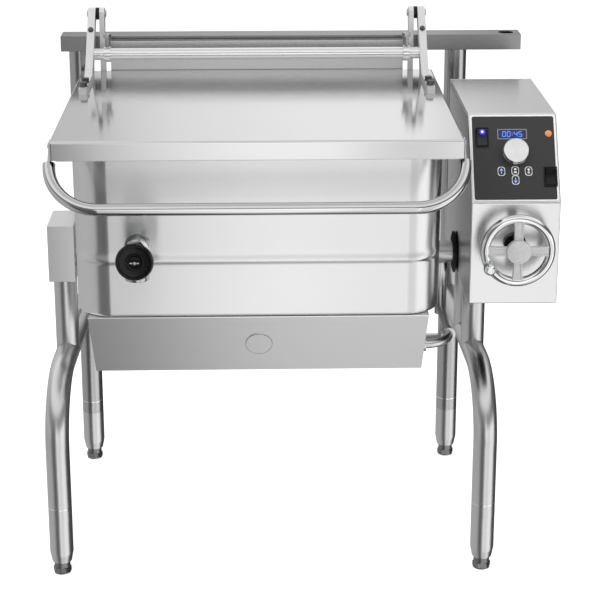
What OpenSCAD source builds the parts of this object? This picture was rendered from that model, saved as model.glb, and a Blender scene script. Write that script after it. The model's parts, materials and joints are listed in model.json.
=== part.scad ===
// Tilting bratt pan on an open tube frame, with a counterbalanced lid and a hand wheel tilt.
// x runs to the right, y to the rear and z up. The origin is the middle of the footprint.

/* [Frame] */
// Centre distance between the two front legs
leg_span = 914; // [908:2:930]
// Inset of each rear post from the front leg on its side
leg_splay = 17; // [11:1:21]
// Distance from the front legs to the rear posts
frame_depth = 590; // [586:2:610]
// Outer diameter of the frame tube
tube_d = 50.8; // [46:0.4:52]
// Wall of the frame tube
tube_wall = 2; // [1.5:0.25:3]
// Height of the side rails at their centre line
rail_z = 431; // [400:1:440]
// Bend radius of the front legs at the centre line
leg_bend_r = 140; // [120:5:160]
// Height at which the leg tubes end on their sleeves
sleeve_top = 126; // [110:2:140]
// Height of the sleeves above the floor
sleeve_bottom = 28; // [24:1:34]
// Width across a levelling foot
foot_d = 39; // [34:1:42]
// Diameter of the threaded stud of a foot
foot_stud_d = 16; // [12:1:20]
// Height of the lower rear cross pipe
cross_z = 307; // [260:1:340]
// Outer diameter of the lower rear cross pipe
cross_d = 26.7; // [20:0.1:34]

/* [Rear beam] */
// Underside of the rear beam
beam_z = 1037; // [1034:1:1044]
// Height of the rear beam
beam_h = 36; // [30:1:38]
// Depth of the rear beam
beam_depth = 58; // [52:1:60]
// Wall of the rear beam
beam_wall = 2.5; // [2:0.25:4]
// Reach of the beam past the left rear post
beam_over_left = 41; // [30:1:50]
// Reach of the beam past the right rear post
beam_over_right = 149; // [140:1:160]
// Diameter of the faucet hole in the beam
faucet_d = 34.5; // [28:0.5:38]
// Distance of the faucet hole from the right end of the beam
faucet_inset = 32; // [28:1:40]

/* [Pan] */
// Distance of the tilting axis behind the front legs
trunnion_y = 215; // [210:1:220]
// Height of the tilting axis
trunnion_z = 655; // [651:1:658]
// Diameter of the trunnion shafts
trunnion_d = 50; // [46:1:52]
// Offset of the pan to the left of the middle of the frame
pan_offset = 26; // [22:1:30]
// Distance from each side wall of the pan to the front leg on its side
pan_side_gap = 86; // [82:1:92]
// Distance from the tilting axis to the front wall of the pan
pan_front = 315; // [308:1:320]
// Distance from the rear wall of the pan to the rear posts
pan_rear_gap = 70; // [69:1:77]
// Depth of the pan below the tilting axis
pan_drop = 33; // [31:1:36]
// Height of the pan rim above the tilting axis
pan_rise = 305; // [300:1:308]
// Radius of the upright corners of the pan
pan_corner_r = 52; // [40:1:60]
// Radius of the lower edges of the pan
pan_edge_r = 18; // [10:1:22]
// Height of the crease in the front wall above the tilting axis
crease_rise = 94; // [80:1:110]
// Forward lean of the front wall above the crease
front_lean = 14; // [6:1:18]
// Wall of the outer jacket
jacket_wall = 2; // [1.5:0.5:3]
// Gap between the jacket and the inner vessel
lagging = 25; // [20:1:30]
// Wall of the inner vessel
vessel_wall = 3; // [2:0.5:4]
// Thickness of the cooking floor
floor_t = 14; // [10:1:16]

/* [Burner box] */
// Height of the burner box
box_h = 137; // [125:1:145]
// Set in of the top of the burner box from each side wall of the pan
box_top_inset = 25; // [21:1:31]
// Set in of the bottom of the burner box from each side wall of the pan
box_bottom_inset = 33; // [31:1:39]
// Set back of the lower front edge of the burner box
box_setback = 55; // [45:1:65]
// Diameter of the sight plug
sight_d = 54; // [44:1:60]
// Diameter of a burner tube
burner_d = 40; // [30:1:46]
// Number of burner tubes
burner_count = 4; // [3:1:5]

/* [Lid] */
// Reach of the lid past each side wall of the pan
lid_side_over = 34.5; // [32:0.5:36]
// Reach of the lid past the front wall of the pan
lid_front_over = 36; // [34:1:41]
// Reach of the lid past the rear wall of the pan
lid_back_over = 13; // [7:1:15]
// Height of the turned down lid edge
lid_h = 38; // [30:1:40]
// Sheet thickness of the lid
lid_wall = 2; // [1.5:0.25:3]
// Diameter of the handle tube
handle_d = 25; // [20:1:28]
// Reach of the handle bar in front of the lid
handle_reach = 60; // [50:1:70]
// Drop of the handle bar below the top of the lid
handle_drop = 120; // [110:1:130]
// Corner radius of the handle at its centre line
handle_r = 100; // [80:2:110]

/* [Lid hinge] */
// Height of the hinge axis above the tilting axis
hinge_rise = 472; // [468:1:480]
// Distance of the hinge axis behind the rear wall of the pan
hinge_gap = 35; // [31:1:39]
// Distance of the middle of each lid arm outside the side wall of the pan
arm_over = 8; // [7:1:10]
// Thickness of a lid arm
arm_t = 17; // [12:1:18]
// Set in of the middle of each hinge bracket from the side wall of the pan
bracket_inset = 15; // [14:1:17]
// Thickness of a hinge bracket
bracket_t = 12; // [8:1:13]
// Diameter of the hinge pins
pin_d = 16; // [12:1:20]
// Diameter of the cross tube between the arms
cross_tube_d = 26.5; // [22:0.5:28]

/* [Console] */
// Width of the console
console_w = 183; // [178:1:190]
// Distance from the right upright to the left wall of the console
console_inset = 43; // [40:1:45]
// Height of the upright part of the console front
console_front_h = 216; // [208:1:226]
// Full height of the console
console_h = 380; // [370:1:390]
// Depth of the console
console_depth = 436; // [426:1:450]
// Distance of the console front in front of the front legs
console_front = 34; // [30:1:40]
// Run of the sloping panel towards the rear
panel_run = 100; // [90:1:110]
// Sheet thickness of the console
console_wall = 2; // [1.5:0.25:3]
// Diameter of the black seal on the trunnion
seal_d = 92; // [80:1:100]

/* [Tilt drive] */
// Outer diameter of the hand wheel
wheel_d = 152; // [140:1:160]
// Diameter of the hand wheel rim
rim_d = 19; // [15:1:22]
// Distance of the hand wheel from the console front
wheel_reach = 46; // [42:1:56]
// Centre distance between the worm and the tilting axis
drive_centre = 97; // [94:1:100]
// Mean radius of the worm
worm_r = 19; // [17:0.5:20]
// Number of teeth on a whole turn of the tilt gear
gear_teeth = 40; // [36:4:44]
// Face width of the tilt gear
gear_w = 16; // [12:1:18]

/* [Draw-off valve] */
// Distance of the valve from the left wall of the pan
valve_inset = 131; // [121:1:151]
// Height of the valve above the tilting axis
valve_rise = 120; // [112:1:130]
// Reach of the valve knob in front of the pan wall
valve_reach = 112; // [108:1:120]
// Diameter of the valve knob
valve_knob_d = 75; // [66:1:80]
// Diameter of the valve body
valve_d = 46; // [40:1:50]

/* [Controls] */
// Diameter of the temperature knob
temp_knob_d = 52; // [44:1:56]
// Width of a push button
button_w = 15; // [12:0.5:17]
// Height of a push button
button_h = 19; // [14:0.5:20]
// Travel of a push button
button_travel = 1.5; // [0.8:0.1:2]
// Width of a rocker switch
rocker_w = 21; // [18:0.5:23]
// Height of a rocker switch
rocker_h = 36; // [30:0.5:40]
// Tilt of a rocker switch to either side
rocker_tilt = 8; // [5:1:9]

/* [Hidden] */
$fn = 48;
over = 1;              // overrun of every cut
weld_gap = 0.15;       // space left at a coped tube
run_gap = 0.05;        // radial play of a running fit
slip_gap = 0.3;        // space between pieces that move past each other

// Frame places
post_span = leg_span - 2 * leg_splay;
beam_left = post_span / 2 + beam_over_left;
beam_right = post_span / 2 + beam_over_right;
toe = atan((leg_span - post_span) / 2 / frame_depth);
function rail_x(y) = leg_span / 2 - y * tan(toe);
console_post_gap = 120;
console_post_y = trunnion_y + console_post_gap;
sleeve_taper = 22;
sleeve_neck_d = 42;
spigot_l = 30;
foot_hex_h = 11;
foot_pad_h = 3;
foot_neck_d = 34;
foot_stud_l = 70;
foot_places = [[-leg_span / 2, 0], [leg_span / 2, 0], [-post_span / 2, frame_depth],
               [post_span / 2, frame_depth]];

// Left trunnion housing
housing_w = 57;
housing_d = 120;
housing_h = 126;
housing_wall = 3;
housing_drop = 43;
housing_z = trunnion_z - housing_drop;
housing_x = -rail_x(trunnion_y) - housing_w / 2;
shaft_hole_gap = 1;
bearing_w = 44;
bearing_d = 92;
bearing_h = 82;

// Console places
console_x = rail_x(trunnion_y) - console_inset;
console_z = trunnion_z - pan_drop;
console_top = console_z + console_h;
console_y0 = -console_front;
console_y1 = console_y0 + console_depth;
panel_rise = console_h - console_front_h;
panel_angle = atan2(panel_rise, panel_run);
panel_l = norm([panel_run, panel_rise]);
seal_t = 8;

// Pan places, measured from the tilting axis
pan_x = -pan_offset;
pan_w = leg_span - 2 * pan_side_gap;
pan_back = frame_depth - trunnion_y - pan_rear_gap;
pan_y0 = trunnion_y - pan_front;
pan_y1 = trunnion_y + pan_back;
pan_z0 = trunnion_z - pan_drop;
pan_top = trunnion_z + pan_rise;
crease_z = trunnion_z + crease_rise;
rim_t = 4;
rim_edge = 11;         // the rim stops this far inside the lid edge
lid_top = pan_top + lid_h + slip_gap;
lid_w = pan_w + 2 * lid_side_over;
lid_y0 = pan_y0 - lid_front_over;
lid_y1 = pan_y1 + lid_back_over;
cavity_w = pan_w - 2 * (jacket_wall + lagging + vessel_wall);
cavity_y0 = pan_y0 + jacket_wall + lagging + vessel_wall;
cavity_y1 = pan_y1 - jacket_wall - lagging - vessel_wall;
cavity_z = pan_z0 + lagging + floor_t;
cavity_corner_r = 22;
cavity_edge_r = 6;
lagging_gap = 0.3;      // the lagging stands off the round corners of the vessel by this
jacket_top = pan_top - rim_t;

// Burner box places
box_top_w = pan_w - 2 * box_top_inset;
box_bottom_w = pan_w - 2 * box_bottom_inset;
box_z = pan_z0 - box_h;
box_back_inset = 42;
box_back = pan_y1 - box_back_inset;
box_wall = 2;
box_slot_w = 14;
box_slot_l = 380;
box_slot_count = 5;
manifold_d = 26;
burner_rise = 86;
burner_z = box_z + burner_rise;
flue_slot_h = 18;      // opening from the burner box into the flue
function box_half(z) = (box_bottom_w + (box_top_w - box_bottom_w) * (z - box_z) / box_h) / 2;
sight_drop = 69;       // centre of the sight plug below the pan
sight_lip = 3;
box_lean = atan(box_setback / box_h);

// Flue riser
flue_half = box_bottom_w / 2;
flue_gap = 18;
flue_depth = 16;
flue_rise = 106;
flue_front = pan_y1 + flue_gap;
flue_back = flue_front + flue_depth;
flue_top = pan_top + flue_rise;
flue_wall = 1.5;
flue_step = 30;        // the flue narrows this far below the rim
flue_slope = 15;

// Gas pipe on the right side of the pan
gas_d = 19;
gas_bend_r = 58;
gas_boss_d = 30;
gas_boss_l = 8;
gas_riser_d = 26;
gas_ahead = 225;
gas_drop = 97;
gas_y = trunnion_y - gas_ahead;
gas_z = pan_z0 - gas_drop;
gas_side = box_half(gas_z + gas_boss_d / 2) + weld_gap;
gas_x = pan_x + gas_side + gas_boss_l / 2 + gas_bend_r;

// Hinge places
arm_offset = pan_w / 2 + arm_over;
bracket_offset = pan_w / 2 - bracket_inset;
hinge_y = pan_y1 + hinge_gap;
hinge_z = trunnion_z + hinge_rise;
bracket_depth = 16;
bracket_gap = 17;
bracket_y = pan_y1 + bracket_gap;
bracket_foot = 70;     // how far the bracket reaches down the rear wall
bracket_foot_reach = 45;
bracket_head_r = 14;
arm_head_r = 14;
arm_reach = 256;       // the arm foot starts this far ahead of the rear of the lid
arm_bolt_d = 15;
arm_foot_share = 0.10;
arm_plate_shares = [[0, 0], [0, arm_foot_share], [0.49, arm_foot_share], [0.60, 0.26],
                    [0.962, 1.072], [1.038, 0.929], [0.735, 0.24], [0.70, 0]];
tube_drop = 80;
tube_ahead = 75;
clamp_inset = 31;
clamp_offset = pan_w / 2 - clamp_inset;
clamp_w = 14;
clamp_d = 36;
bolt_head_d = 19;
bolt_head_h = 9;
bolt_d = 10;
clamp_bolt_l = 20;
arm_bolt_insets = [28, 72];

// Handle places
handle_tab_t = 4;
handle_tab_w = 30;
handle_inset = 46;     // fixing point of the handle behind the lid front
handle_angle = atan2(handle_drop - lid_h / 2, handle_reach + handle_inset);
handle_l = norm([handle_drop - lid_h / 2, handle_reach + handle_inset]);
handle_tab_l = 58;
handle_screw_d = 12;
handle_screw_h = 3;

// Tilt drive places
worm_play = 0.5;
thread_depth = 2.5;    // half the depth of the worm thread and of the gear teeth
gear_r = drive_centre - worm_r - worm_play;
worm_lead = 2 * PI * gear_r / gear_teeth;
worm_turns = 4;
gear_points = 8;
gear_hub_d = 56;
gear_bore_d = 40;
gear_tail_deg = 14;
worm_shaft_d = 20;
drive_x = console_x + console_w / 2;
drive_z = trunnion_z + drive_centre;
wheel_y = console_y0 - wheel_reach;
hub_d = 50;
hub_l = 30;
spoke_w = 18;
spoke_t = 11;
spoke_count = 4;
crank_angle = 204;
crank_d = 26;
crank_l = 34;
crank_pin_d = 9;
crank_stand = 6;
crank_neck_d = 18;
bushing_d = 46;
bushing_l = 10;
drive_bracket_t = 8;
drive_bracket_w = 44;
drive_bracket_reach = 90;

// Panel layout, as shares of the overlay from its left and top edges
overlay_margin = 4;
overlay_t = 2;
overlay_w = console_w - 2 * overlay_margin;
overlay_h = panel_l - 2 * overlay_margin;
power_share = [0.131, 0.262];
mode_share = [0.915, 0.722];
display_share = [0.487, 0.225];
knob_share = [0.512, 0.444];
lamp_share = [0.914, 0.221];
button_shares = [[0.341, 0.657], [0.503, 0.652], [0.660, 0.657], [0.503, 0.758]];
display_w = 58;
display_h = 19;
display_t = 3;
lamp_d = 14;
lamp_t = 5;
knob_h = 20;
knob_skirt = 3;
knob_shaft_d = 8;
knob_hole_d = 10;
bezel_rim = 3;
bezel_t = 3;
rocker_t = 15;
rocker_pivot_depth = 4;
button_t = 5;
board_t = 1.6;
board_drop = 16;
post_d = 6;

// Valve places
valve_x = pan_x - pan_w / 2 + valve_inset;
valve_z = trunnion_z + valve_rise;
valve_wall_y = pan_y0 - front_lean * (valve_rise - crease_rise) / (pan_rise - crease_rise);
valve_knob_h = 22;
valve_tail_d = 30;
valve_out_d = 48;
valve_out_drop = 57;
valve_body_l = 62;
valve_collar_d = 54;
valve_bore_d = 20;
valve_stem_d = 12;
valve_travel = 10;
valve_ridges = 24;
ridge_d = 5;
valve_cap_d = 24;
valve_cap_h = 3;

// Rear connections of the console
inlet_d = 26.7;
inlet_l = 30;
inlet_wall = 3;
inlet_neck_d = 24;
inlet_step = 1;
gland_d = 28;
gland_l = 22;
gland_nut_share = 0.8;
inlet_rise = 90;
gland_rise = 40;
rear_inset = 46;
screw_d = 10;
screw_h = 3;

// The footprint, which places the origin
left_end = -max(leg_span / 2 + tube_d / 2, beam_left);
right_end = max(console_x + console_w, beam_right);
front_end = valve_wall_y - valve_reach - valve_cap_h;
rear_end = frame_depth + beam_depth / 2;
mid_x = (left_end + right_end) / 2;
mid_y = (front_end + rear_end) / 2;

// Shared shapes

module at_origin() translate([-mid_x, -mid_y, 0]) children();

module pipe(l, d, wall) {
    difference() {
        cylinder(h = l, d = d);
        translate([0, 0, -over]) cylinder(h = l + 2 * over, d = d - 2 * wall);
    }
}

module pipe_bend(r, d, wall, turn) {
    rotate_extrude(angle = turn) translate([r, 0]) difference() {
        circle(d = d);
        circle(d = d - 2 * wall);
    }
}

// A cylinder along x, with its middle at the origin
module rod_x(l, d) rotate([0, 90, 0]) cylinder(h = l, d = d, center = true);

// A cylinder along y, from the origin to the rear
module rod_y(l, d) rotate([-90, 0, 0]) cylinder(h = l, d = d);

module box_between(low, high) translate(low) cube(high - low);

// An outline in y and z, drawn out along x between two places
module side_prism(x0, x1, points) {
    translate([x0, 0, 0]) rotate([90, 0, 90]) linear_extrude(x1 - x0) polygon(points);
}

// A tub with round upright corners and round lower edges
module tub(x, y0, y1, z0, z1, w, corner_r, edge_r) {
    module wall_outline(reach) {
        translate([-reach, edge_r]) square([2 * reach, z1 - z0 - edge_r]);
        translate([edge_r - reach, 0]) square([2 * (reach - edge_r), edge_r]);
        for (s = [-1, 1]) translate([s * (reach - edge_r), edge_r]) circle(r = edge_r);
    }
    module corner() {
        rotate_extrude() {
            translate([0, edge_r]) square([corner_r, z1 - z0 - edge_r]);
            square([corner_r - edge_r, edge_r]);
            intersection() {
                translate([corner_r - edge_r, edge_r]) circle(r = edge_r);
                square([corner_r, 2 * edge_r]);
            }
        }
    }
    d = y1 - y0;
    translate([x, (y0 + y1) / 2, z0]) {
        rotate([90, 0, 0]) linear_extrude(d - 2 * corner_r, center = true) wall_outline(w / 2);
        rotate([90, 0, 90]) linear_extrude(w - 2 * corner_r, center = true) wall_outline(d / 2);
        for (sx = [-1, 1], sy = [-1, 1])
            translate([sx * (w / 2 - corner_r), sy * (d / 2 - corner_r), 0]) corner();
    }
}

// Panel coordinates: x to the right, y up the slope, z out of the panel
module on_panel(share) {
    translate([console_x + overlay_margin + share[0] * overlay_w, console_y0, console_z + console_front_h])
        rotate([panel_angle, 0, 0])
            translate([0, panel_l - overlay_margin - share[1] * overlay_h, 0]) children();
}

// Frame

module rail_cut() {
    for (s = [-1, 1]) translate([s * leg_span / 2, 0, rail_z]) rotate([0, 0, s * toe])
        rod_y(2 * frame_depth, tube_d + 2 * weld_gap);
}

module post_cut() {
    for (s = [-1, 1]) translate([s * post_span / 2, frame_depth, 0])
        cylinder(h = beam_z, d = tube_d + 2 * weld_gap);
}

module leg_rail(s) {
    color("silver") at_origin() difference() {
        translate([s * leg_span / 2, 0, 0]) rotate([0, 0, s * toe]) {
            translate([0, 0, sleeve_top])
                pipe(rail_z - leg_bend_r - sleeve_top, tube_d, tube_wall);
            translate([0, leg_bend_r, rail_z - leg_bend_r]) rotate([90, 0, -90])
                pipe_bend(leg_bend_r, tube_d, tube_wall, 90);
            translate([0, leg_bend_r, rail_z]) rotate([-90, 0, 0])
                pipe(frame_depth / cos(toe) - leg_bend_r, tube_d, tube_wall);
        }
        post_cut();
    }
}

module leg_rail_left() leg_rail(-1);
module leg_rail_right() leg_rail(1);

module rear_posts() {
    color("silver") at_origin() for (s = [-1, 1])
        translate([s * post_span / 2, frame_depth, sleeve_top])
            pipe(beam_z - sleeve_top, tube_d, tube_wall);
}

module upright(s, y, top) {
    difference() {
        translate([s * rail_x(y), y, rail_z]) pipe(top - rail_z, tube_d, tube_wall);
        rail_cut();
    }
}

module upright_left() color("silver") at_origin() upright(-1, trunnion_y, housing_z);

module console_posts() {
    color("silver") at_origin() {
        upright(1, trunnion_y, console_z);
        upright(1, console_post_y, console_z);
    }
}

module rear_beam() {
    y0 = frame_depth - beam_depth / 2;
    color("gainsboro") at_origin() difference() {
        box_between([-beam_left, y0, beam_z], [beam_right, y0 + beam_depth, beam_z + beam_h]);
        box_between([beam_wall - beam_left, y0 + beam_wall, beam_z + beam_wall],
            [beam_right - beam_wall, y0 + beam_depth - beam_wall, beam_z + beam_h - beam_wall]);
        translate([beam_right - faucet_inset, frame_depth, beam_z - over])
            cylinder(h = beam_h + 2 * over, d = faucet_d);
    }
}

module cross_pipe() {
    color("silver") at_origin() difference() {
        translate([-post_span / 2, frame_depth, cross_z]) rotate([0, 90, 0])
            pipe(post_span, cross_d, tube_wall);
        post_cut();
    }
}

module leg_sleeves() {
    spigot_r = tube_d / 2 - tube_wall - weld_gap;
    color("silver") at_origin() for (p = foot_places) translate([p[0], p[1], 0])
        rotate_extrude() polygon([
            [foot_stud_d / 2 + run_gap, sleeve_bottom], [sleeve_neck_d / 2, sleeve_bottom],
            [tube_d / 2, sleeve_bottom + sleeve_taper], [tube_d / 2, sleeve_top],
            [spigot_r, sleeve_top], [spigot_r, sleeve_top + spigot_l],
            [foot_stud_d / 2 + run_gap, sleeve_top + spigot_l]]);
}

module foot(i) {
    p = foot_places[i];
    color("dimgray") at_origin() translate([p[0], p[1], 0]) {
        cylinder(h = foot_pad_h, d = foot_d - foot_pad_h);
        translate([0, 0, foot_pad_h]) cylinder(h = foot_hex_h, d = foot_d, $fn = 6);
        cylinder(h = sleeve_bottom - slip_gap, d = foot_neck_d);
        cylinder(h = sleeve_bottom + foot_stud_l, d = foot_stud_d);
    }
}

module foot_front_left() foot(0);
module foot_front_right() foot(1);
module foot_rear_left() foot(2);
module foot_rear_right() foot(3);

// Bearings of the tilting axis

module trunnion_axis(x0, x1, d) {
    translate([x0, trunnion_y, trunnion_z]) rotate([0, 90, 0]) cylinder(h = x1 - x0, d = d);
}

module trunnion_housing() {
    y0 = trunnion_y - housing_d / 2;
    w = housing_wall;
    color("silver") at_origin() difference() {
        box_between([housing_x, y0, housing_z],
            [housing_x + housing_w, y0 + housing_d, housing_z + housing_h]);
        box_between([housing_x + w, y0 + w, housing_z + w],
            [housing_x + housing_w - w, y0 + housing_d - w, housing_z + housing_h - w]);
        trunnion_axis(housing_x + housing_w / 2, housing_x + housing_w + over,
            trunnion_d + 2 * shaft_hole_gap);
    }
}

module bearing_block(x, z) {
    difference() {
        box_between([x, trunnion_y - bearing_d / 2, z],
            [x + bearing_w, trunnion_y + bearing_d / 2, trunnion_z + bearing_h / 2]);
        trunnion_axis(x - over, x + bearing_w + over, trunnion_d + 2 * run_gap);
    }
}

bearing_left_x = housing_x + (housing_w - bearing_w) / 2;
bearing_right_x = console_x + console_wall;

module trunnion_bearings() {
    color("dimgray") at_origin() {
        bearing_block(bearing_left_x, housing_z + housing_wall);
        bearing_block(bearing_right_x, console_z + console_wall);
    }
}

module trunnion_seal() {
    color("black") at_origin() difference() {
        trunnion_axis(console_x - seal_t, console_x, seal_d);
        trunnion_axis(console_x - seal_t - over, console_x + over, trunnion_d + 2 * slip_gap);
    }
}

// Console

function console_outline(inset, floor_cut, back_cut) = let (
    k = inset * tan(panel_angle / 2),
    m = inset * tan((90 - panel_angle) / 2))
    [[console_y0 + inset, console_z - floor_cut],
     [console_y0 + inset, console_z + console_front_h - m],
     [console_y0 + panel_run + k, console_top - inset],
     [console_y1 + back_cut, console_top - inset],
     [console_y1 + back_cut, console_z - floor_cut]];

module panel_openings() {
    on_panel(knob_share) cylinder(h = 4 * console_wall, d = knob_hole_d, center = true);
    for (p = [power_share, mode_share]) on_panel(p)
        cube([rocker_w + 2 * slip_gap, rocker_h + 2 * slip_gap, 4 * board_drop], center = true);
    for (p = button_shares) on_panel(p)
        cube([button_w + 2 * slip_gap, button_h + 2 * slip_gap, 4 * console_wall + 2 * overlay_t],
            center = true);
}

module console_shell() {
    color("gainsboro") at_origin() difference() {
        side_prism(console_x, console_x + console_w,
            console_outline(0, 0, -console_wall));
        side_prism(console_x + console_wall, console_x + console_w - console_wall,
            console_outline(console_wall, over, over));
        trunnion_axis(console_x - over, console_x + 2 * console_wall, trunnion_d + 2 * shaft_hole_gap);
        translate([drive_x, console_y0 - over, drive_z])
            rod_y(console_wall + 2 * over, worm_shaft_d + 2 * shaft_hole_gap);
        panel_openings();
    }
}

module rear_hole(x, rise, d) {
    translate([x, console_y1 - console_wall - over, console_z + rise])
        rod_y(console_wall + 2 * over, d);
}

module console_back() {
    color("gainsboro") at_origin() difference() {
        box_between([console_x, console_y1 - console_wall, console_z],
            [console_x + console_w, console_y1, console_top]);
        rear_hole(console_x + console_w - rear_inset, inlet_rise, inlet_neck_d + 2 * weld_gap);
        rear_hole(console_x + rear_inset, gland_rise, gland_d / 2 + 2 * weld_gap);
    }
}

module console_base() {
    color("gainsboro") at_origin()
        box_between([console_x + console_wall, console_y0 + console_wall, console_z],
            [console_x + console_w - console_wall, console_y1 - console_wall,
             console_z + console_wall]);
}

module console_screws() {
    color("silver") at_origin()
        for (x = [console_x + screw_d, console_x + console_w - screw_d],
             z = [console_z + screw_d, (console_z + console_top) / 2, console_top - screw_d])
            translate([x, console_y1, z]) rod_y(screw_h, screw_d);
}

module control_overlay() {
    color("black") at_origin() difference() {
        on_panel([0, 1]) cube([overlay_w, overlay_h, overlay_t]);
        panel_openings();
    }
}

module rocker_bezels() {
    color("black") at_origin() for (p = [power_share, mode_share]) on_panel(p)
        translate([0, 0, overlay_t]) difference() {
            translate([-rocker_w / 2 - bezel_rim, -rocker_h / 2 - bezel_rim, 0])
                cube([rocker_w + 2 * bezel_rim, rocker_h + 2 * bezel_rim, bezel_t]);
            cube([rocker_w + 2 * slip_gap, rocker_h + 2 * slip_gap, 4 * bezel_t], center = true);
        }
}

module display_window() {
    color("navy") at_origin() on_panel(display_share) translate([-display_w / 2, -display_h / 2, overlay_t])
        cube([display_w, display_h, display_t]);
}

module alarm_lamp() {
    color("orange") at_origin() on_panel(lamp_share) translate([0, 0, overlay_t])
        cylinder(h = lamp_t, d = lamp_d);
}

module control_board() {
    color("green") at_origin() on_panel([0, 1]) {
        translate([overlay_margin, overlay_margin, -board_drop - board_t - console_wall])
            cube([overlay_w - 2 * overlay_margin, overlay_h - 2 * overlay_margin, board_t]);
        for (x = [2 * overlay_margin, overlay_w - 2 * overlay_margin],
             y = [2 * overlay_margin, overlay_h - 2 * overlay_margin])
            translate([x, y, -board_drop - console_wall]) cylinder(h = board_drop, d = post_d);
    }
}

module gas_inlet() {
    color("silver") at_origin()
        translate([console_x + console_w - rear_inset, console_y1 - inlet_l, console_z + inlet_rise])
            rotate([-90, 0, 0]) difference() {
                union() {
                    cylinder(h = 2 * inlet_l, d = inlet_neck_d);
                    translate([0, 0, inlet_l + inlet_step]) cylinder(h = inlet_l - inlet_step, d = inlet_d);
                }
                translate([0, 0, -over]) cylinder(h = 2 * inlet_l + 2 * over, d = inlet_d - 2 * inlet_wall);
            }
}

module cord_gland() {
    color("black") at_origin()
        translate([console_x + rear_inset, console_y1, console_z + gland_rise]) {
            rod_y(gland_l / 2, gland_d);
            rod_y(gland_l, gland_d * gland_nut_share);
            translate([0, -gland_l / 2, 0]) rod_y(gland_l, gland_d / 2);
        }
}

// Controls that move

module rocker(p) {
    pivot_z = overlay_t + bezel_t - rocker_pivot_depth;
    on_panel(p) translate([0, 0, pivot_z]) rotate([rocker_tilt, 0, 0]) intersection() {
        rod_x(rocker_w, rocker_h - slip_gap);
        side_prism(-rocker_w / 2, rocker_w / 2,
            [[-rocker_h / 2, -rocker_t / 2], [rocker_h / 2, -rocker_t / 2],
             [rocker_h / 2, rocker_pivot_depth + bezel_t], [0, rocker_pivot_depth],
             [-rocker_h / 2, rocker_pivot_depth + bezel_t]]);
    }
}

module power_rocker() color("darkslateblue") at_origin() rocker(power_share);
module mode_rocker() color("black") at_origin() rocker(mode_share);

module temp_knob() {
    color("silver") at_origin() on_panel(knob_share) {
        translate([0, 0, overlay_t + slip_gap]) {
            cylinder(h = knob_skirt, d = temp_knob_d);
            cylinder(h = knob_h, d = temp_knob_d - knob_skirt);
        }
        translate([0, 0, -board_drop + slip_gap]) cylinder(h = board_drop, d = knob_shaft_d);
    }
}

module button(i) {
    color("dimgray") at_origin() on_panel(button_shares[i])
        translate([-button_w / 2, -button_h / 2, overlay_t + button_travel - button_t])
            cube([button_w, button_h, button_t]);
}

module button_up() button(0);
module button_time() button(1);
module button_probe() button(2);
module button_down() button(3);

// Tilt drive

module worm_axis(y0, y1, d) translate([drive_x, y0, drive_z]) rod_y(y1 - y0, d);

module worm_shaft() {
    reach = drive_bracket_reach + drive_bracket_t;
    color("gray") at_origin() {
        worm_axis(wheel_y - hub_l / 2, trunnion_y + reach + over, worm_shaft_d);
        translate([drive_x, trunnion_y, drive_z]) rotate([-90, 0, 0])
            linear_extrude(worm_turns * worm_lead, center = true, twist = -360 * worm_turns,
                slices = 16 * worm_turns)
                translate([0, -thread_depth]) circle(r = worm_r, $fn = 32);
    }
}

module gear_bracket() {
    color("dimgray") at_origin() difference() {
        for (y = [trunnion_y - drive_bracket_reach - drive_bracket_t, trunnion_y + drive_bracket_reach])
            box_between([drive_x - drive_bracket_w / 2, y, console_z + console_wall],
                [drive_x + drive_bracket_w / 2, y + drive_bracket_t, drive_z + drive_bracket_w / 2]);
        worm_axis(0, 2 * trunnion_y, worm_shaft_d + 2 * run_gap);
    }
}

module wheel_bushing() {
    color("black") at_origin() difference() {
        worm_axis(console_y0 - bushing_l, console_y0, bushing_d);
        worm_axis(console_y0 - 2 * bushing_l, console_y0 + over, worm_shaft_d + 2 * slip_gap);
    }
}

module rim_ring(d) {
    translate([drive_x, wheel_y, drive_z]) rotate([90, 0, 0]) rotate_extrude()
        translate([(wheel_d - rim_d) / 2, 0]) circle(d = d);
}

module wheel_spider() {
    color("silver") at_origin() difference() {
        union() {
            worm_axis(wheel_y - hub_l / 2, wheel_y + hub_l / 2, hub_d);
            translate([drive_x, wheel_y, drive_z]) for (i = [0 : spoke_count - 1])
                rotate([0, i * 360 / spoke_count, 0]) translate([-spoke_w / 2, -spoke_t / 2, 0])
                    cube([spoke_w, spoke_t, (wheel_d - rim_d) / 2]);
        }
        rim_ring(rim_d + 2 * weld_gap);
        worm_axis(wheel_y - hub_l, wheel_y + hub_l, worm_shaft_d + 2 * run_gap);
    }
}

crank_r = (wheel_d - rim_d) / 2;
crank_x = drive_x + crank_r * cos(crank_angle);
crank_z = drive_z + crank_r * sin(crank_angle);
crank_y = wheel_y - rim_d / 2 - crank_stand;

module wheel_rim() {
    color("white") at_origin() {
        rim_ring(rim_d);
        translate([crank_x, wheel_y, crank_z]) rotate([90, 0, 0]) {
            cylinder(h = wheel_y - crank_y, d = crank_pin_d + crank_stand);
            cylinder(h = wheel_y - crank_y + crank_l - crank_stand, d = crank_pin_d);
        }
    }
}

module crank_knob() {
    bore_r = crank_pin_d / 2 + run_gap;
    color("white") at_origin() translate([crank_x, crank_y - slip_gap, crank_z])
        rotate([90, 0, 0]) difference() {
            union() {
                cylinder(h = crank_l - crank_d / 2, d1 = crank_neck_d, d2 = crank_d);
                translate([0, 0, crank_l - crank_d / 2]) sphere(d = crank_d);
            }
            translate([0, 0, -over]) cylinder(h = crank_l - crank_stand + over, r = bore_r);
        }
}

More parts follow.
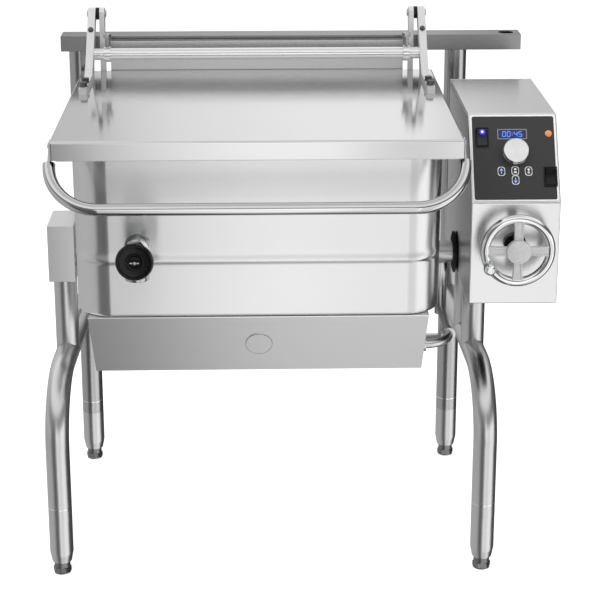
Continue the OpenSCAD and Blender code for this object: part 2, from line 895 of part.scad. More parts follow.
module tilt_gear() {
    steps = gear_teeth * gear_points;
    first = -round(gear_tail_deg / 360 * steps);
    last = round((90 + gear_tail_deg) / 360 * steps);
    tip = [for (i = [first : last]) let (
        a = i * 360 / steps,
        r = gear_r + thread_depth * cos(gear_teeth * (a - 90)))
        [r * cos(a), r * sin(a)]];
    color("dimgray") at_origin() difference() {
        translate([drive_x - gear_w / 2, trunnion_y, trunnion_z]) rotate([90, 0, 90])
            linear_extrude(gear_w) {
                polygon(concat([[0, 0]], tip));
                circle(d = gear_hub_d);
            }
        trunnion_axis(console_x, console_x + console_w, gear_bore_d + 2 * run_gap);
    }
}

// Pan

module jacket_solid(inset) {
    intersection() {
        tub(pan_x, pan_y0 - front_lean - over + inset, pan_y1 - inset, pan_z0 + inset,
            jacket_top + over, pan_w - 2 * inset, pan_corner_r - inset, pan_edge_r - inset);
        side_prism(pan_x - pan_w, pan_x + pan_w,
            [[pan_y0 + inset, pan_z0 - over], [pan_y0 + inset, crease_z],
             [pan_y0 - front_lean + inset, pan_top], [pan_y0 - front_lean + inset, pan_top + over],
             [pan_y1 + over, pan_top + over], [pan_y1 + over, pan_z0 - over]]);
    }
}

module vessel_solid(grow) {
    tub(pan_x, cavity_y0 - grow, cavity_y1 + grow, cavity_z - (grow > 0 ? floor_t : 0),
        pan_top + over, cavity_w + 2 * grow, cavity_corner_r + grow, cavity_edge_r + grow);
}

module below(z) {
    box_between([pan_x - pan_w, pan_y0 - pan_w, -over], [pan_x + pan_w, pan_y1 + pan_w, z]);
}

module valve_passage(d) {
    translate([valve_x, pan_y0 - valve_reach, valve_z]) rod_y(2 * valve_reach, d);
}

module shaft_passage() trunnion_axis(pan_x - pan_w, pan_x + pan_w, trunnion_d + 2 * weld_gap);

module burner_window() {
    box_between([pan_x - cavity_w / 2 + lagging, cavity_y0 + lagging, pan_z0 - over],
        [pan_x + cavity_w / 2 - lagging, box_back - lagging, pan_z0 + lagging - over]);
}

module pan_vessel() {
    color("gainsboro") at_origin() difference() {
        union() {
            intersection() {
                vessel_solid(vessel_wall);
                below(pan_top - over);
            }
            box_between([pan_x - lid_w / 2 + rim_edge, lid_y0 + rim_edge, jacket_top],
                [pan_x + lid_w / 2 - rim_edge, lid_y1 - rim_edge, pan_top]);
        }
        vessel_solid(0);
        valve_passage(valve_tail_d + 2 * weld_gap);
    }
}

module pan_jacket() {
    color("silver") at_origin() difference() {
        intersection() {
            jacket_solid(0);
            below(jacket_top);
        }
        jacket_solid(jacket_wall);
        burner_window();
        valve_passage(valve_tail_d + 2 * weld_gap);
        shaft_passage();
    }
}

module insulation() {
    color("khaki") at_origin() difference() {
        intersection() {
            jacket_solid(jacket_wall + weld_gap);
            below(jacket_top - weld_gap);
        }
        vessel_solid(vessel_wall + lagging_gap);
        burner_window();
        box_between([pan_x - cavity_w / 2 + lagging, cavity_y0 + lagging, pan_z0],
            [pan_x + cavity_w / 2 - lagging, box_back - lagging, cavity_z]);
        valve_passage(valve_tail_d + 2 * weld_gap);
        shaft_passage();
    }
}

module trunnion_shafts() {
    inner = cavity_w / 2 + vessel_wall;
    color("silver") at_origin() {
        trunnion_axis(bearing_left_x, pan_x - inner - weld_gap, trunnion_d);
        trunnion_axis(pan_x + inner + weld_gap, bearing_right_x + bearing_w, trunnion_d);
        trunnion_axis(bearing_right_x + bearing_w, drive_x + gear_w, gear_bore_d);
    }
}

module burner_box_solid(inset) {
    y_top = pan_y0 + inset;
    y_low = pan_y0 + box_setback + inset;
    top_half = box_top_w / 2 - inset;
    low_half = box_bottom_w / 2 - inset;
    z_low = box_z + inset;
    intersection() {
        side_prism(pan_x - pan_w / 2, pan_x + pan_w / 2,
            [[y_low, z_low], [y_top, pan_z0], [box_back - inset, pan_z0], [box_back - inset, z_low]]);
        translate([pan_x, pan_y1, 0]) rotate([90, 0, 0]) linear_extrude(pan_front + pan_back)
            polygon([[-low_half, z_low], [low_half, z_low], [top_half, pan_z0], [-top_half, pan_z0]]);
    }
}

sight_z = pan_z0 - sight_drop;
sight_y = pan_y0 + box_setback * sight_drop / box_h;

module on_sight_face() {
    translate([pan_x, sight_y, sight_z]) rotate([90 + box_lean, 0, 0]) children();
}

module flue_slot() {
    half = cavity_w / 2 - lagging;
    top = pan_z0 - 4 * box_wall;
    box_between([pan_x - half, box_back - 2 * box_wall, top - flue_slot_h],
        [pan_x + half, box_back + 2 * box_wall, top]);
}

module burner_box() {
    color("silver") at_origin() difference() {
        burner_box_solid(0);
        flue_slot();
        burner_box_solid(box_wall);
        box_between([pan_x - box_bottom_w / 2 + lagging, pan_y0 + lagging, pan_z0 - 2 * box_wall],
            [pan_x + box_bottom_w / 2 - lagging, box_back - lagging, pan_z0 + over]);
        on_sight_face() cylinder(h = 4 * sight_lip, d = sight_d - 2 * sight_lip + 2 * weld_gap,
            center = true);
        for (i = [1 : box_slot_count])
            translate([pan_x, trunnion_y + (i - (box_slot_count + 1) / 2) * 4 * box_slot_w, box_z])
                cube([box_slot_l, box_slot_w, 4 * box_wall], center = true);
    }
}

module sight_plug() {
    color("silver") at_origin() on_sight_face() {
        cylinder(h = sight_lip / 2, d = sight_d);
        translate([0, 0, -sight_lip]) cylinder(h = sight_lip, d = sight_d - 2 * sight_lip);
    }
}

module burners() {
    spacing = 2 * box_half(burner_z) / (burner_count + 1);
    half = box_half(burner_z) - 2 * box_wall;
    manifold_y = pan_y0 + box_setback + manifold_d;
    color("dimgray") at_origin() {
        translate([pan_x, manifold_y, burner_z]) rod_x(2 * half, manifold_d);
        for (i = [1 : burner_count])
            translate([pan_x + (i - (burner_count + 1) / 2) * spacing, manifold_y, burner_z])
                rod_y(box_back - box_wall - manifold_y, burner_d);
    }
}

module gas_pipe() {
    bend_end_y = gas_y + gas_bend_r;
    color("silver") at_origin() {
        translate([pan_x + gas_side + gas_boss_l / 2, gas_y, gas_z]) rod_x(gas_boss_l, gas_boss_d);
        translate([gas_x - gas_bend_r, bend_end_y, gas_z]) rotate([0, 0, -90])
            rotate_extrude(angle = 90) translate([gas_bend_r, 0]) circle(d = gas_d);
        translate([gas_x, bend_end_y - gas_boss_l / 2, gas_z]) rod_y(2 * gas_boss_l, gas_boss_d);
        translate([gas_x, bend_end_y + gas_boss_l, gas_z])
            rod_y(trunnion_y - bend_end_y - gas_boss_l, gas_d);
        difference() {
            translate([gas_x, trunnion_y, gas_z - gas_riser_d / 2])
                cylinder(h = trunnion_z - gas_z + gas_riser_d / 2, d = gas_riser_d);
            shaft_passage();
        }
    }
}

module flue_riser() {
    w = flue_wall;
    step_z = pan_top - flue_step;
    back_z = box_z + box_h / 2;
    color("lightgray") at_origin() difference() {
        side_prism(pan_x - flue_half, pan_x + flue_half,
            [[box_back, box_z], [flue_back, back_z], [flue_back, flue_top], [flue_front, flue_top],
             [flue_front, step_z], [pan_y1, step_z - flue_slope], [pan_y1, pan_z0], [box_back, pan_z0]]);
        side_prism(pan_x - flue_half + w, pan_x + flue_half - w,
            [[box_back + w, box_z + 2 * w], [flue_back - w, back_z + w], [flue_back - w, flue_top + over],
             [flue_front + w, flue_top + over], [flue_front + w, step_z - w],
             [pan_y1 + w, step_z - flue_slope - w], [pan_y1 + w, pan_z0 - w], [box_back + w, pan_z0 - w]]);
        flue_slot();
    }
}

// Lid hinge on the pan

module hinge_axis(x0, x1, d) {
    translate([x0, hinge_y, hinge_z]) rotate([0, 90, 0]) cylinder(h = x1 - x0, d = d);
}

module hinge_brackets() {
    foot_z = jacket_top - bracket_foot;
    color("lightgray") at_origin() difference() {
        for (s = [-1, 1]) {
            x = pan_x + s * bracket_offset - bracket_t / 2;
            side_prism(x, x + bracket_t,
                [[pan_y1 - bracket_foot_reach, foot_z], [bracket_y + bracket_depth, foot_z],
                 [bracket_y + bracket_depth, beam_z + beam_h],
                 [hinge_y + bracket_head_r, hinge_z], [hinge_y - bracket_head_r, hinge_z],
                 [bracket_y, hinge_z - 3 * bracket_head_r], [bracket_y, jacket_top - rim_t],
                 [pan_y1 - bracket_foot_reach, jacket_top - rim_t]]);
            hinge_axis(x, x + bracket_t, 2 * bracket_head_r);
        }
        jacket_solid(-weld_gap);
        hinge_axis(pan_x - pan_w, pan_x + pan_w, pin_d + 2 * run_gap);
    }
}

module hinge_pins() {
    inner = bracket_offset - bracket_t / 2 - screw_h;
    outer = arm_offset + arm_t / 2 + screw_h;
    color("silver") at_origin() {
        hinge_axis(pan_x - outer, pan_x - inner, pin_d);
        hinge_axis(pan_x + inner, pan_x + outer, pin_d);
    }
}

// Lid

module lid_shell() {
    color("whitesmoke") at_origin() difference() {
        box_between([pan_x - lid_w / 2, lid_y0, lid_top - lid_h],
            [pan_x + lid_w / 2, lid_y1, lid_top]);
        box_between([pan_x - lid_w / 2 + lid_wall, lid_y0 + lid_wall, lid_top - lid_h - over],
            [pan_x + lid_w / 2 - lid_wall, lid_y1 - lid_wall, lid_top - lid_wall]);
    }
}

module on_handle() {
    translate([pan_x, lid_y0 - handle_reach, lid_top - handle_drop])
        rotate([handle_angle, 0, 0]) children();
}

module lid_handle() {
    half = lid_w / 2 + handle_tab_t / 2;
    leg = handle_l - handle_r - handle_tab_l + handle_tab_w / 2;
    color("silver") at_origin() on_handle() {
        rod_x(2 * (half - handle_r), handle_d);
        for (s = [-1, 1]) {
            translate([s * (half - handle_r), handle_r, 0]) rotate([0, 0, s > 0 ? -90 : 180])
                rotate_extrude(angle = 90) translate([handle_r, 0]) circle(d = handle_d);
            translate([s * half, handle_r, 0]) rod_y(leg, handle_d);
            translate([s * half - handle_tab_t / 2 + s * weld_gap, handle_r + leg - handle_tab_w / 2,
                       -handle_d / 2])
                cube([handle_tab_t, handle_l - handle_r - leg + handle_tab_w / 2, handle_d]);
            translate([s * half + s * weld_gap, handle_l, 0]) rod_x(handle_tab_t, handle_d);
        }
    }
}

function arm_point(p) = [lid_y1 - arm_reach + p[0] * (hinge_y - lid_y1 + arm_reach),
                         lid_top + p[1] * (hinge_z - lid_top)];

module lid_arms() {
    color("lightgray") at_origin() difference() {
        for (s = [-1, 1]) {
            x = pan_x + s * arm_offset - arm_t / 2;
            side_prism(x, x + arm_t, [for (p = arm_plate_shares) arm_point(p)]);
            hinge_axis(x, x + arm_t, 2 * arm_head_r);
        }
        hinge_axis(pan_x - pan_w, pan_x + pan_w, pin_d + 2 * run_gap);
    }
}

module hex_bolt(l) {
    cylinder(h = l, d = bolt_d);
    translate([0, 0, l]) cylinder(h = bolt_head_h, d = bolt_head_d, $fn = 6);
}

module lid_bolts() {
    tube_y = hinge_y - tube_ahead;
    tube_z = hinge_z - tube_drop;
    color("silver") at_origin() {
        for (s = [-1, 1]) {
            for (inset = arm_bolt_insets)
                translate([pan_x + s * arm_offset, lid_y1 - arm_reach + inset,
                           arm_point([0, arm_foot_share])[1]])
                    cylinder(h = bolt_head_h, d = arm_bolt_d, $fn = 6);
            translate([pan_x + s * clamp_offset, tube_y, tube_z + clamp_d / 2]) hex_bolt(clamp_bolt_l);
            on_handle() translate([s * (lid_w / 2 + handle_tab_t + handle_screw_h / 2 + weld_gap),
                                   handle_l, 0]) rod_x(handle_screw_h, handle_screw_d);
        }
    }
}

module cross_tube() {
    inner = arm_offset - arm_t / 2;
    color("silver") at_origin() translate([pan_x, hinge_y - tube_ahead, hinge_z - tube_drop]) {
        rod_x(2 * inner, cross_tube_d);
        for (s = [-1, 1]) translate([s * clamp_offset, 0, 0]) rod_x(clamp_w, clamp_d);
    }
}

module hinge_spacers() {
    inner = bracket_offset + bracket_t / 2 + slip_gap;
    outer = arm_offset - arm_t / 2;
    color("black") at_origin() difference() {
        for (s = [-1, 1])
            hinge_axis(pan_x + min(s * inner, s * outer), pan_x + max(s * inner, s * outer),
                2 * arm_head_r);
        hinge_axis(pan_x - pan_w, pan_x + pan_w, pin_d + 2 * run_gap);
    }
}

// Draw-off valve

module valve_axis(reach0, reach1, d) {
    translate([valve_x, valve_wall_y - reach1, valve_z]) rod_y(reach1 - reach0, d);
}

module valve_body() {
    out_y = valve_wall_y - valve_body_l + valve_d / 2;
    color("white") at_origin() difference() {
        union() {
            difference() {
                valve_axis(-valve_d / 4, valve_body_l, valve_d);
                side_prism(valve_x - valve_d, valve_x + valve_d,
                    [[pan_y0 - weld_gap, crease_z], [pan_y0 - front_lean - weld_gap, pan_top],
                     [pan_y1, pan_top], [pan_y1, crease_z]]);
            }
            valve_axis(valve_body_l - bolt_head_h, valve_body_l + 2 * bolt_head_h, valve_collar_d);
            valve_axis(valve_wall_y - cavity_y0, 0, valve_tail_d);
            translate([valve_x, out_y, valve_z - valve_out_drop])
                cylinder(h = valve_out_drop, d = valve_out_d - 2 * vessel_wall);
            translate([valve_x, out_y, valve_z - valve_out_drop])
                cylinder(h = valve_out_drop / 2, d = valve_out_d);
        }
        valve_axis(valve_wall_y - cavity_y0 - over, valve_reach, valve_bore_d);
        translate([valve_x, out_y, valve_z - valve_out_drop - over])
            cylinder(h = valve_out_drop + over, d = valve_bore_d);
    }
}

module valve_stem() {
    color("silver") at_origin() {
        valve_axis(valve_body_l / 2, valve_reach - valve_knob_h / 2, valve_stem_d);
        valve_axis(valve_body_l / 2, valve_body_l / 2 + valve_travel, valve_bore_d - 2 * slip_gap);
    }
}

module valve_knob() {
    top = valve_reach;
    color("black") at_origin() difference() {
        union() {
            valve_axis(top - valve_knob_h, top, valve_knob_d - ridge_d);
            for (i = [1 : valve_ridges]) translate([
                    valve_x + (valve_knob_d - ridge_d) / 2 * cos(i * 360 / valve_ridges),
                    valve_wall_y - top, valve_z + (valve_knob_d - ridge_d) / 2 * sin(i * 360 / valve_ridges)])
                rod_y(valve_knob_h, ridge_d);
            valve_axis(top, top + valve_cap_h, valve_cap_d);
        }
        valve_axis(0, top - valve_knob_h / 2 + slip_gap, valve_stem_d + 2 * run_gap);
    }
}

leg_rail_left();
leg_rail_right();
rear_posts();
upright_left();
console_posts();
rear_beam();
cross_pipe();
leg_sleeves();
foot_front_left();
foot_front_right();
foot_rear_left();
foot_rear_right();
trunnion_housing();
trunnion_bearings();
trunnion_seal();
console_shell();
console_back();
console_base();
console_screws();
control_overlay();
rocker_bezels();
display_window();
alarm_lamp();
control_board();
gear_bracket();
wheel_bushing();
gas_inlet();
cord_gland();
worm_shaft();
wheel_spider();
wheel_rim();
crank_knob();
power_rocker();
mode_rocker();
temp_knob();
button_up();
button_time();
button_probe();
button_down();
pan_vessel();
pan_jacket();
insulation();
burner_box();
sight_plug();
burners();
gas_pipe();
flue_riser();
hinge_brackets();
hinge_pins();
trunnion_shafts();
tilt_gear();
valve_body();
valve_stem();
valve_knob();
lid_shell();
lid_handle();
lid_arms();
lid_bolts();
cross_tube();
hinge_spacers();
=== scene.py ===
import json
import math
import bpy
import bmesh
from mathutils import Matrix, Vector
from mathutils.bvhtree import BVHTree


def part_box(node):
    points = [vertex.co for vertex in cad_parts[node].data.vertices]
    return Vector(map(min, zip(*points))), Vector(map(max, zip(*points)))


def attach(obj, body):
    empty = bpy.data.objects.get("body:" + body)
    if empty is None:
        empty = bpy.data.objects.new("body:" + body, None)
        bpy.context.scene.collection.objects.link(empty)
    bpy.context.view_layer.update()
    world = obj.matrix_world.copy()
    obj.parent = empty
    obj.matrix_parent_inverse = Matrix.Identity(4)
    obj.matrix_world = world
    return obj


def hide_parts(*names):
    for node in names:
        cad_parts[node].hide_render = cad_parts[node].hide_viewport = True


# A tilting bratt pan: satin stainless sheet and tube, a chrome hand wheel and a black control panel.
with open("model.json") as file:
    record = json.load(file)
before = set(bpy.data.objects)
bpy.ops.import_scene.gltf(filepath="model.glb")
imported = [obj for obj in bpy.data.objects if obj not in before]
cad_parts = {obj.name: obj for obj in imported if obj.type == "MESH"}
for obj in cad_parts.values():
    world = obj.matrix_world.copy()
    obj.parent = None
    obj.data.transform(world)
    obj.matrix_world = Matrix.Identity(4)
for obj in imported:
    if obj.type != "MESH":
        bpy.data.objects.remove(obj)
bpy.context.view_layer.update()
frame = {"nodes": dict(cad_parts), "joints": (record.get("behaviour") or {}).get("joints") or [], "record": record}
record = frame["record"]
nodes = frame["nodes"]
mm = 0.001
bodyOf = {n: body for body, members in record["behaviour"]["bodies"].items() for n in members}
slotOf = {part["node"]: part["material_slot"] for part in record["subparts"]}
jointOf = {joint["name"]: joint for joint in frame["joints"]}
print("frame loaded:", len(nodes), "nodes")


# One node of a shader or of a geometry tree, its settings and its inputs; a node given as an input stands for
# its first output
def addNode(tree, kind, inputs=None, **settings):
    node = tree.nodes.new(kind)
    for key, value in settings.items():
        setattr(node, key, value)
    for key, value in (inputs or {}).items():
        value = value.outputs[0] if isinstance(value, bpy.types.Node) else value
        if isinstance(value, bpy.types.NodeSocket):
            tree.links.new(value, node.inputs[key])
        else:
            node.inputs[key].default_value = value
    return node


def hexColour(text, alpha=1.0):
    parts = [int(text[i:i + 2], 16) / 255 for i in (1, 3, 5)]
    linear = [c / 12.92 if c <= 0.04045 else ((c + 0.055) / 1.055) ** 2.4 for c in parts]
    return (*linear, alpha)


def newMaterial(name):
    material = bpy.data.materials.new(name)
    material.use_nodes = True
    material.node_tree.nodes.clear()
    return material, material.node_tree


# The surface of a real material. grain is the size in mm of one mark along x, y and z, fog the size of the
# softer clouds: both shade between the two colours, and the grain alone sets the roughness and the bump.
grainShape = {"detail": 3.0, "roughness": 0.6, "fogDetail": 2.0, "base": 0.25, "span": (0.3, 0.7), "depth": 0.1}


def grainedMaterial(name, look):
    material, tree = newMaterial(name)
    place = addNode(tree, "ShaderNodeTexCoord").outputs["Object"]
    scale = [1 / (size * mm) for size in look["grain"]]
    grainPlace = addNode(tree, "ShaderNodeMapping", {"Scale": scale, "Vector": place})
    grain = addNode(tree, "ShaderNodeTexNoise", {"Scale": 1.0, "Detail": grainShape["detail"],
                    "Roughness": grainShape["roughness"], "Vector": grainPlace})
    fog = addNode(tree, "ShaderNodeTexNoise", {"Scale": 1 / (look["fog"] * mm),
                  "Detail": grainShape["fogDetail"], "Vector": place})
    both = addNode(tree, "ShaderNodeMath", {0: grain, 1: fog, 2: grainShape["base"]}, operation="MULTIPLY_ADD")
    dark, light = map(hexColour, look["colour"])  # sockets 6 and 7 of a mix are its colours
    tone = addNode(tree, "ShaderNodeMix", {0: both, 6: dark, 7: light}, data_type="RGBA")
    start, end = grainShape["span"]
    smooth, dull = look["rough"]
    rough = addNode(tree, "ShaderNodeMapRange", {"From Min": start, "From Max": end, "To Min": smooth,
                    "To Max": dull, "Value": grain})
    bump = addNode(tree, "ShaderNodeBump", {"Strength": look["bump"], "Distance": grainShape["depth"] * mm,
                   "Height": grain})
    shader = addNode(tree, "ShaderNodeBsdfPrincipled", {"Metallic": look["metal"], **look["sockets"],
                     "Base Color": tone.outputs[2], "Roughness": rough, "Normal": bump})
    if look["across"]:
        along = addNode(tree, "ShaderNodeCombineXYZ", dict(enumerate(look["across"])))
    if look["turnedOn"]:
        middle = jointOf[look["turnedOn"]]["pos_m"]
        along = addNode(tree, "ShaderNodeVectorMath", {0: place, 1: middle}, operation="SUBTRACT")
    if look["across"] or look["turnedOn"]:
        tree.links.new(along.outputs[0], shader.inputs["Tangent"])
    addNode(tree, "ShaderNodeOutputMaterial", {"Surface": shader})
    return material


# grain is one size or three; sockets are the shader's own, as Blender names them
def surface(dark, light, grain, fog, rough, bump, metal=1.0, across=None, turnedOn=None, **sockets):
    grain = grain if isinstance(grain, tuple) else (grain,) * 3
    return {"colour": (dark, light), "grain": grain, "fog": fog, "rough": rough, "bump": bump, "metal": metal,
            "across": across, "turnedOn": turnedOn, "sockets": sockets}


# Stainless sheet ground along its length: a clear grain from side to side. Its tangent lies across the grain,
# so a reflection is drawn out across the polish lines.
def groundSheet(dark, light, rough, bump, lean, drawn, fog=160, fine=1.4):
    return surface(dark, light, (160, fine, fine), fog, rough, bump, across=(0.02, *lean), Anisotropic=drawn)


looks = {  # dark and light colour, grain and fog in mm, roughness from and to, bump, then metal
    # stainless tube polished round with a 180 grit belt: fine rings, soft long reflections
    "satin_tube": surface("#d2d2d2", "#dcdcdc", (3, 3, 0.2), 90, (0.28, 0.31), 0.003),
    "bright_tube": surface("#d0d0d0", "#dadada", 3, 80, (0.06, 0.09), 0.03),
    "cross_steel": surface("#ececec", "#f4f4f4", 3, 80, (0.20, 0.24), 0.004),
    # the pan, its burner box and its flue riser in one steel: the box paler for painted light, the riser greyer
    # for painted shade
    "satin_sheet": groundSheet("#e4e4e4", "#eeeeee", (0.29, 0.31), 0.001, (0.6, 0.8), 0.92),
    "lit_box_sheet": groundSheet("#f4f4f4", "#fafafa", (0.28, 0.30), 0.003, (0.6, 0.8), 0.7),
    "shaded_riser_sheet": groundSheet("#c6c6c6", "#cecece", (0.24, 0.26), 0.003, (0.6, 0.8), 0.6),
    # sheet and tube behind the pan, in darker copies of the same steel: painted shade
    "shaded_back_tube": surface("#b8b8b8", "#c2c2c2", (3, 3, 0.2), 90, (0.24, 0.27), 0.003),
    "shaded_back_sheet": groundSheet("#8c8c8c", "#969696", (0.22, 0.26), 0.003, (0.6, 0.8), 0.6, fog=180, fine=1.6),
    # the same sheet with a finer polish, so that near pieces mirror in it
    "console_sheet": groundSheet("#e4e4e4", "#eaeaea", (0.24, 0.26), 0.0006, (0.7, 0.7), 0.6, fog=200),
    "lid_sheet": groundSheet("#dadada", "#e2e2e2", (0.09, 0.11), 0.004, (0.8, 0.6), 0.5, fog=200),
    # drawn stainless, left as it came from the press, a little greasy inside the pan
    "vessel_steel": surface("#c6c6c3", "#d6d6d3", (60, 2, 2), 120, (0.28, 0.4), 0.06),
    # turned steel feet, dulled by the floor
    "foot_steel": surface("#77777a", "#98989a", (2, 2, 6), 14, (0.30, 0.45), 0.2),
    # small stainless and blackened bolts with tool marks
    "fastener_steel": surface("#b4b4b4", "#cfcfcf", 1, 8, (0.22, 0.34), 0.1),
    "bolt_steel": surface("#58585a", "#747476", 2, 9, (0.25, 0.4), 0.1),
    # turned stainless bar, left with a satin skin
    "valve_steel": surface("#aeb0b1", "#c2c4c5", 1.2, 14, (0.14, 0.2), 0.05),
    # bright chrome over polished steel: nearly a mirror
    "chrome_plate": surface("#e4e5e6", "#eff0f0", 4, 30, (0.04, 0.09), 0.01),
    # investment cast stainless, bead blasted to a light matt grey
    "hinge_casting": surface("#dedede", "#eaeaea", 1.6, 25, (0.36, 0.46), 0.08, metal=0.85),
    # sand cast aluminium, tumbled: grey white with a grainy skin
    "cast_aluminium": surface("#b4b4b4", "#f6f6f6", 2.4, 5, (0.45, 0.6), 0.4, metal=0.7),
    # turned and lacquered aluminium, light rings of the tool on its face
    "turned_aluminium": surface("#dedede", "#ececec", 1, 12, (0.17, 0.21), 0.01,
                                turnedOn="temp_knob_turn", Anisotropic=0.95),
    # the drive inside the console: cut steel, cast bronze and rough iron bearings
    "drive_steel": surface("#8e8f90", "#a8a9aa", (1, 6, 1), 10, (0.25, 0.4), 0.1),
    "gear_bronze": surface("#a8834a", "#b9945a", 1.5, 15, (0.3, 0.45), 0.1),
    "bearing_iron": surface("#55575a", "#6c6e70", 2, 20, (0.5, 0.7), 0.4),
    # moulded rubber and pressed mineral wool
    "black_rubber": surface("#161617", "#232324", 2, 20, (0.55, 0.7), 0.2, metal=0.0),
    "lagging_wool": surface("#c9bd93", "#ddd2ad", (6, 2, 2), 30, (0.9, 1.0), 0.8, metal=0.0),
    # printed polyester film with a fine matt texture, and the inks on it
    "overlay_black": surface("#242426", "#2c2c2e", 1.2, 60, (0.42, 0.5), 0.1, metal=0.0),
    "pale_print": surface("#dedede", "#ececec", 2, 30, (0.4, 0.5), 0.0, metal=0.0),
    "grey_print": surface("#77777a", "#858588", 2, 30, (0.4, 0.5), 0.0, metal=0.0),
    # compression moulded phenolic: hard, black, half gloss
    "black_phenolic": surface("#030304", "#0a0a0b", 3, 12, (0.2, 0.4), 0.5, metal=0.0,
                              **{"Specular IOR Level": 0.25, "Coat Weight": 0.15, "Coat Roughness": 0.08}),
    # moulded plastics of the controls: a polished window, a glossy rocker and satin keys
    "display_blue": surface("#17203c", "#1c2748", 3, 20, (0.08, 0.12), 0.0, metal=0.0),
    "rocker_blue": surface("#10101c", "#181826", 2, 20, (0.25, 0.32), 0.02, metal=0.0),
    "button_black": surface("#1e1e22", "#2a2a2e", 1.5, 10, (0.35, 0.45), 0.05, metal=0.0),
    # glass fibre board under a green mask
    "board_green": surface("#1f5a34", "#2a6b40", 3, 18, (0.4, 0.5), 0.1, metal=0.0),
}

# Lit plastic: a clear lens or film with light behind it, and the blue ink of the arrow keys, whose glow is painted
# light
glows = {  # colour, glow and strength
    "lamp_orange": ("#d8701c", "#f08a2c", 0.5), "digit_blue": ("#3c5cc8", "#4c74ff", 1.4),
    "glow_blue": ("#1c1ca0", "#2a30ff", 1.6), "halo_blue": ("#10103c", "#1c20c8", 0.45),
    "glow_white": ("#d8dcff", "#c8d0ff", 1.5), "painted_glow_key_ink": ("#7f9fe8", "#8fb0ff", 0.5),
}
hazeShape = {"grain": 2.0, "detail": 1.0, "rough": (0.15, 0.35)}


def glowMaterial(name, colour, glow, strength):
    material, tree = newMaterial(name)
    place = addNode(tree, "ShaderNodeTexCoord")
    haze = addNode(tree, "ShaderNodeTexNoise", {"Scale": 1 / (hazeShape["grain"] * mm),
                   "Detail": hazeShape["detail"], "Vector": place.outputs["Object"]})
    smooth, dull = hazeShape["rough"]
    rough = addNode(tree, "ShaderNodeMapRange", {"To Min": smooth, "To Max": dull, "Value": haze})
    shader = addNode(tree, "ShaderNodeBsdfPrincipled", {"Base Color": hexColour(colour),
                     "Emission Color": hexColour(glow), "Emission Strength": strength, "Roughness": rough})
    addNode(tree, "ShaderNodeOutputMaterial", {"Surface": shader})
    return material


finish = {slot: grainedMaterial(slot, look) for slot, look in looks.items()}
finish.update({slot: glowMaterial(slot, *glow) for slot, glow in glows.items()})
for nodeName, cadNode in nodes.items():
    cadNode.data.materials.clear()
    cadNode.data.materials.append(finish[slotOf[nodeName]])
print("materials:", len(finish))


# Making a piece from a mesh

# degrees from which an edge is sharp, gets a bevel or stays at all, mm under which corners merge, the segments
# of a bevel, and the radius in mm under which a ring of a turned shape is one point
edgeShape = {"crease": 32, "bevelFrom": 30, "flat": 0.3, "merge": 0.005, "segments": 2, "pole": 0.001}


def linked(name, data):
    thing = bpy.data.objects.new(name, data)
    bpy.context.scene.collection.objects.link(thing)
    return thing


def looseObject(name, bm):
    mesh = bpy.data.meshes.new(name)
    bm.to_mesh(mesh)
    bm.free()
    return linked(name, mesh)


def newPiece(name, bm, material, body, replaced=()):
    bmesh.ops.recalc_face_normals(bm, faces=bm.faces)
    finishPiece(looseObject(name, bm), material, body, replaced)


def finishPiece(piece, material, body, replaced=(), crease=edgeShape["crease"]):
    piece.data.materials.clear()
    piece.data.materials.append(finish[material])
    for face in piece.data.polygons:
        face.use_smooth = True
    piece.data.set_sharp_from_angle(angle=math.radians(crease))
    even = piece.modifiers.new("even", "WEIGHTED_NORMAL")  # flat faces stay flat beside their round edges
    even.keep_sharp = True
    bakeModifiers(piece)
    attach(piece, body)
    if replaced:
        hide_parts(*replaced)


# The mesh that the modifiers of an object give, as a plain mesh on the same object
def bakeModifiers(piece):
    shown = piece.evaluated_get(bpy.context.evaluated_depsgraph_get())
    plain = bpy.data.meshes.new_from_object(shown)
    piece.modifiers.clear()
    piece.data = plain
    return piece


# Sheet metal from a surface without thickness
def addWall(piece, thick, even=False):
    wall = piece.modifiers.new("wall", "SOLIDIFY")
    wall.thickness = thick * mm
    wall.offset = -1
    wall.use_even_offset = even
    return bakeModifiers(piece)


# A node's own shape with its edges rounded; thinner draws it in towards the tilting axis
def roundedCopy(nodeName, bevel, material=None, thinner=0.0):
    bm = bmesh.new()
    bm.from_mesh(nodes[nodeName].data)
    bmesh.ops.remove_doubles(bm, verts=bm.verts, dist=edgeShape["merge"] * mm)
    bmesh.ops.dissolve_limit(bm, angle_limit=math.radians(edgeShape["flat"]), verts=bm.verts, edges=bm.edges)
    for vert in bm.verts if thinner else []:
        away = (vert.co - Vector(jointOf["pan_tilt"]["pos_m"])) * Vector((0, 1, 1))
        vert.co -= away.normalized() * thinner * mm
    piece = looseObject(nodeName + "_skin", bm)
    if bevel:
        edge = piece.modifiers.new("edge", "BEVEL")
        edge.width = bevel * mm
        edge.segments = edgeShape["segments"]
        edge.limit_method = "ANGLE"
        edge.angle_limit = math.radians(edgeShape["bevelFrom"])
        bakeModifiers(piece)
    slot = slotOf[nodeName]
    finishPiece(piece, material or slot, bodyOf[nodeName], [nodeName])


# The points of a circle; steps counts them
def ringOutline(radius, centre=(0, 0), steps=16):
    turns = [2 * math.pi * i / steps for i in range(steps)]
    return [(centre[0] + radius * math.cos(t), centre[1] + radius * math.sin(t)) for t in turns]


def rectangle(left, low, right, high):
    return [(left, low), (right, low), (right, high), (left, high)]


# An outline in mm as corners of a mesh, at a height over the x and y of the place matrix
def ringOf(bm, place, outline, height):
    return [bm.verts.new(place @ Vector((x * mm, y * mm, height * mm))) for x, y in outline]


# The faces between each closed ring of corners and the next; a ring of one corner is a pole
def joinRings(bm, rings):
    for low, high in zip(rings, rings[1:]):
        for i in range(max(len(low), len(high))):
            corners = [ring[k % len(ring)] for ring, k in ((low, i), (low, i + 1), (high, i + 1), (high, i))]
            bm.faces.new(list(dict.fromkeys(corners)))


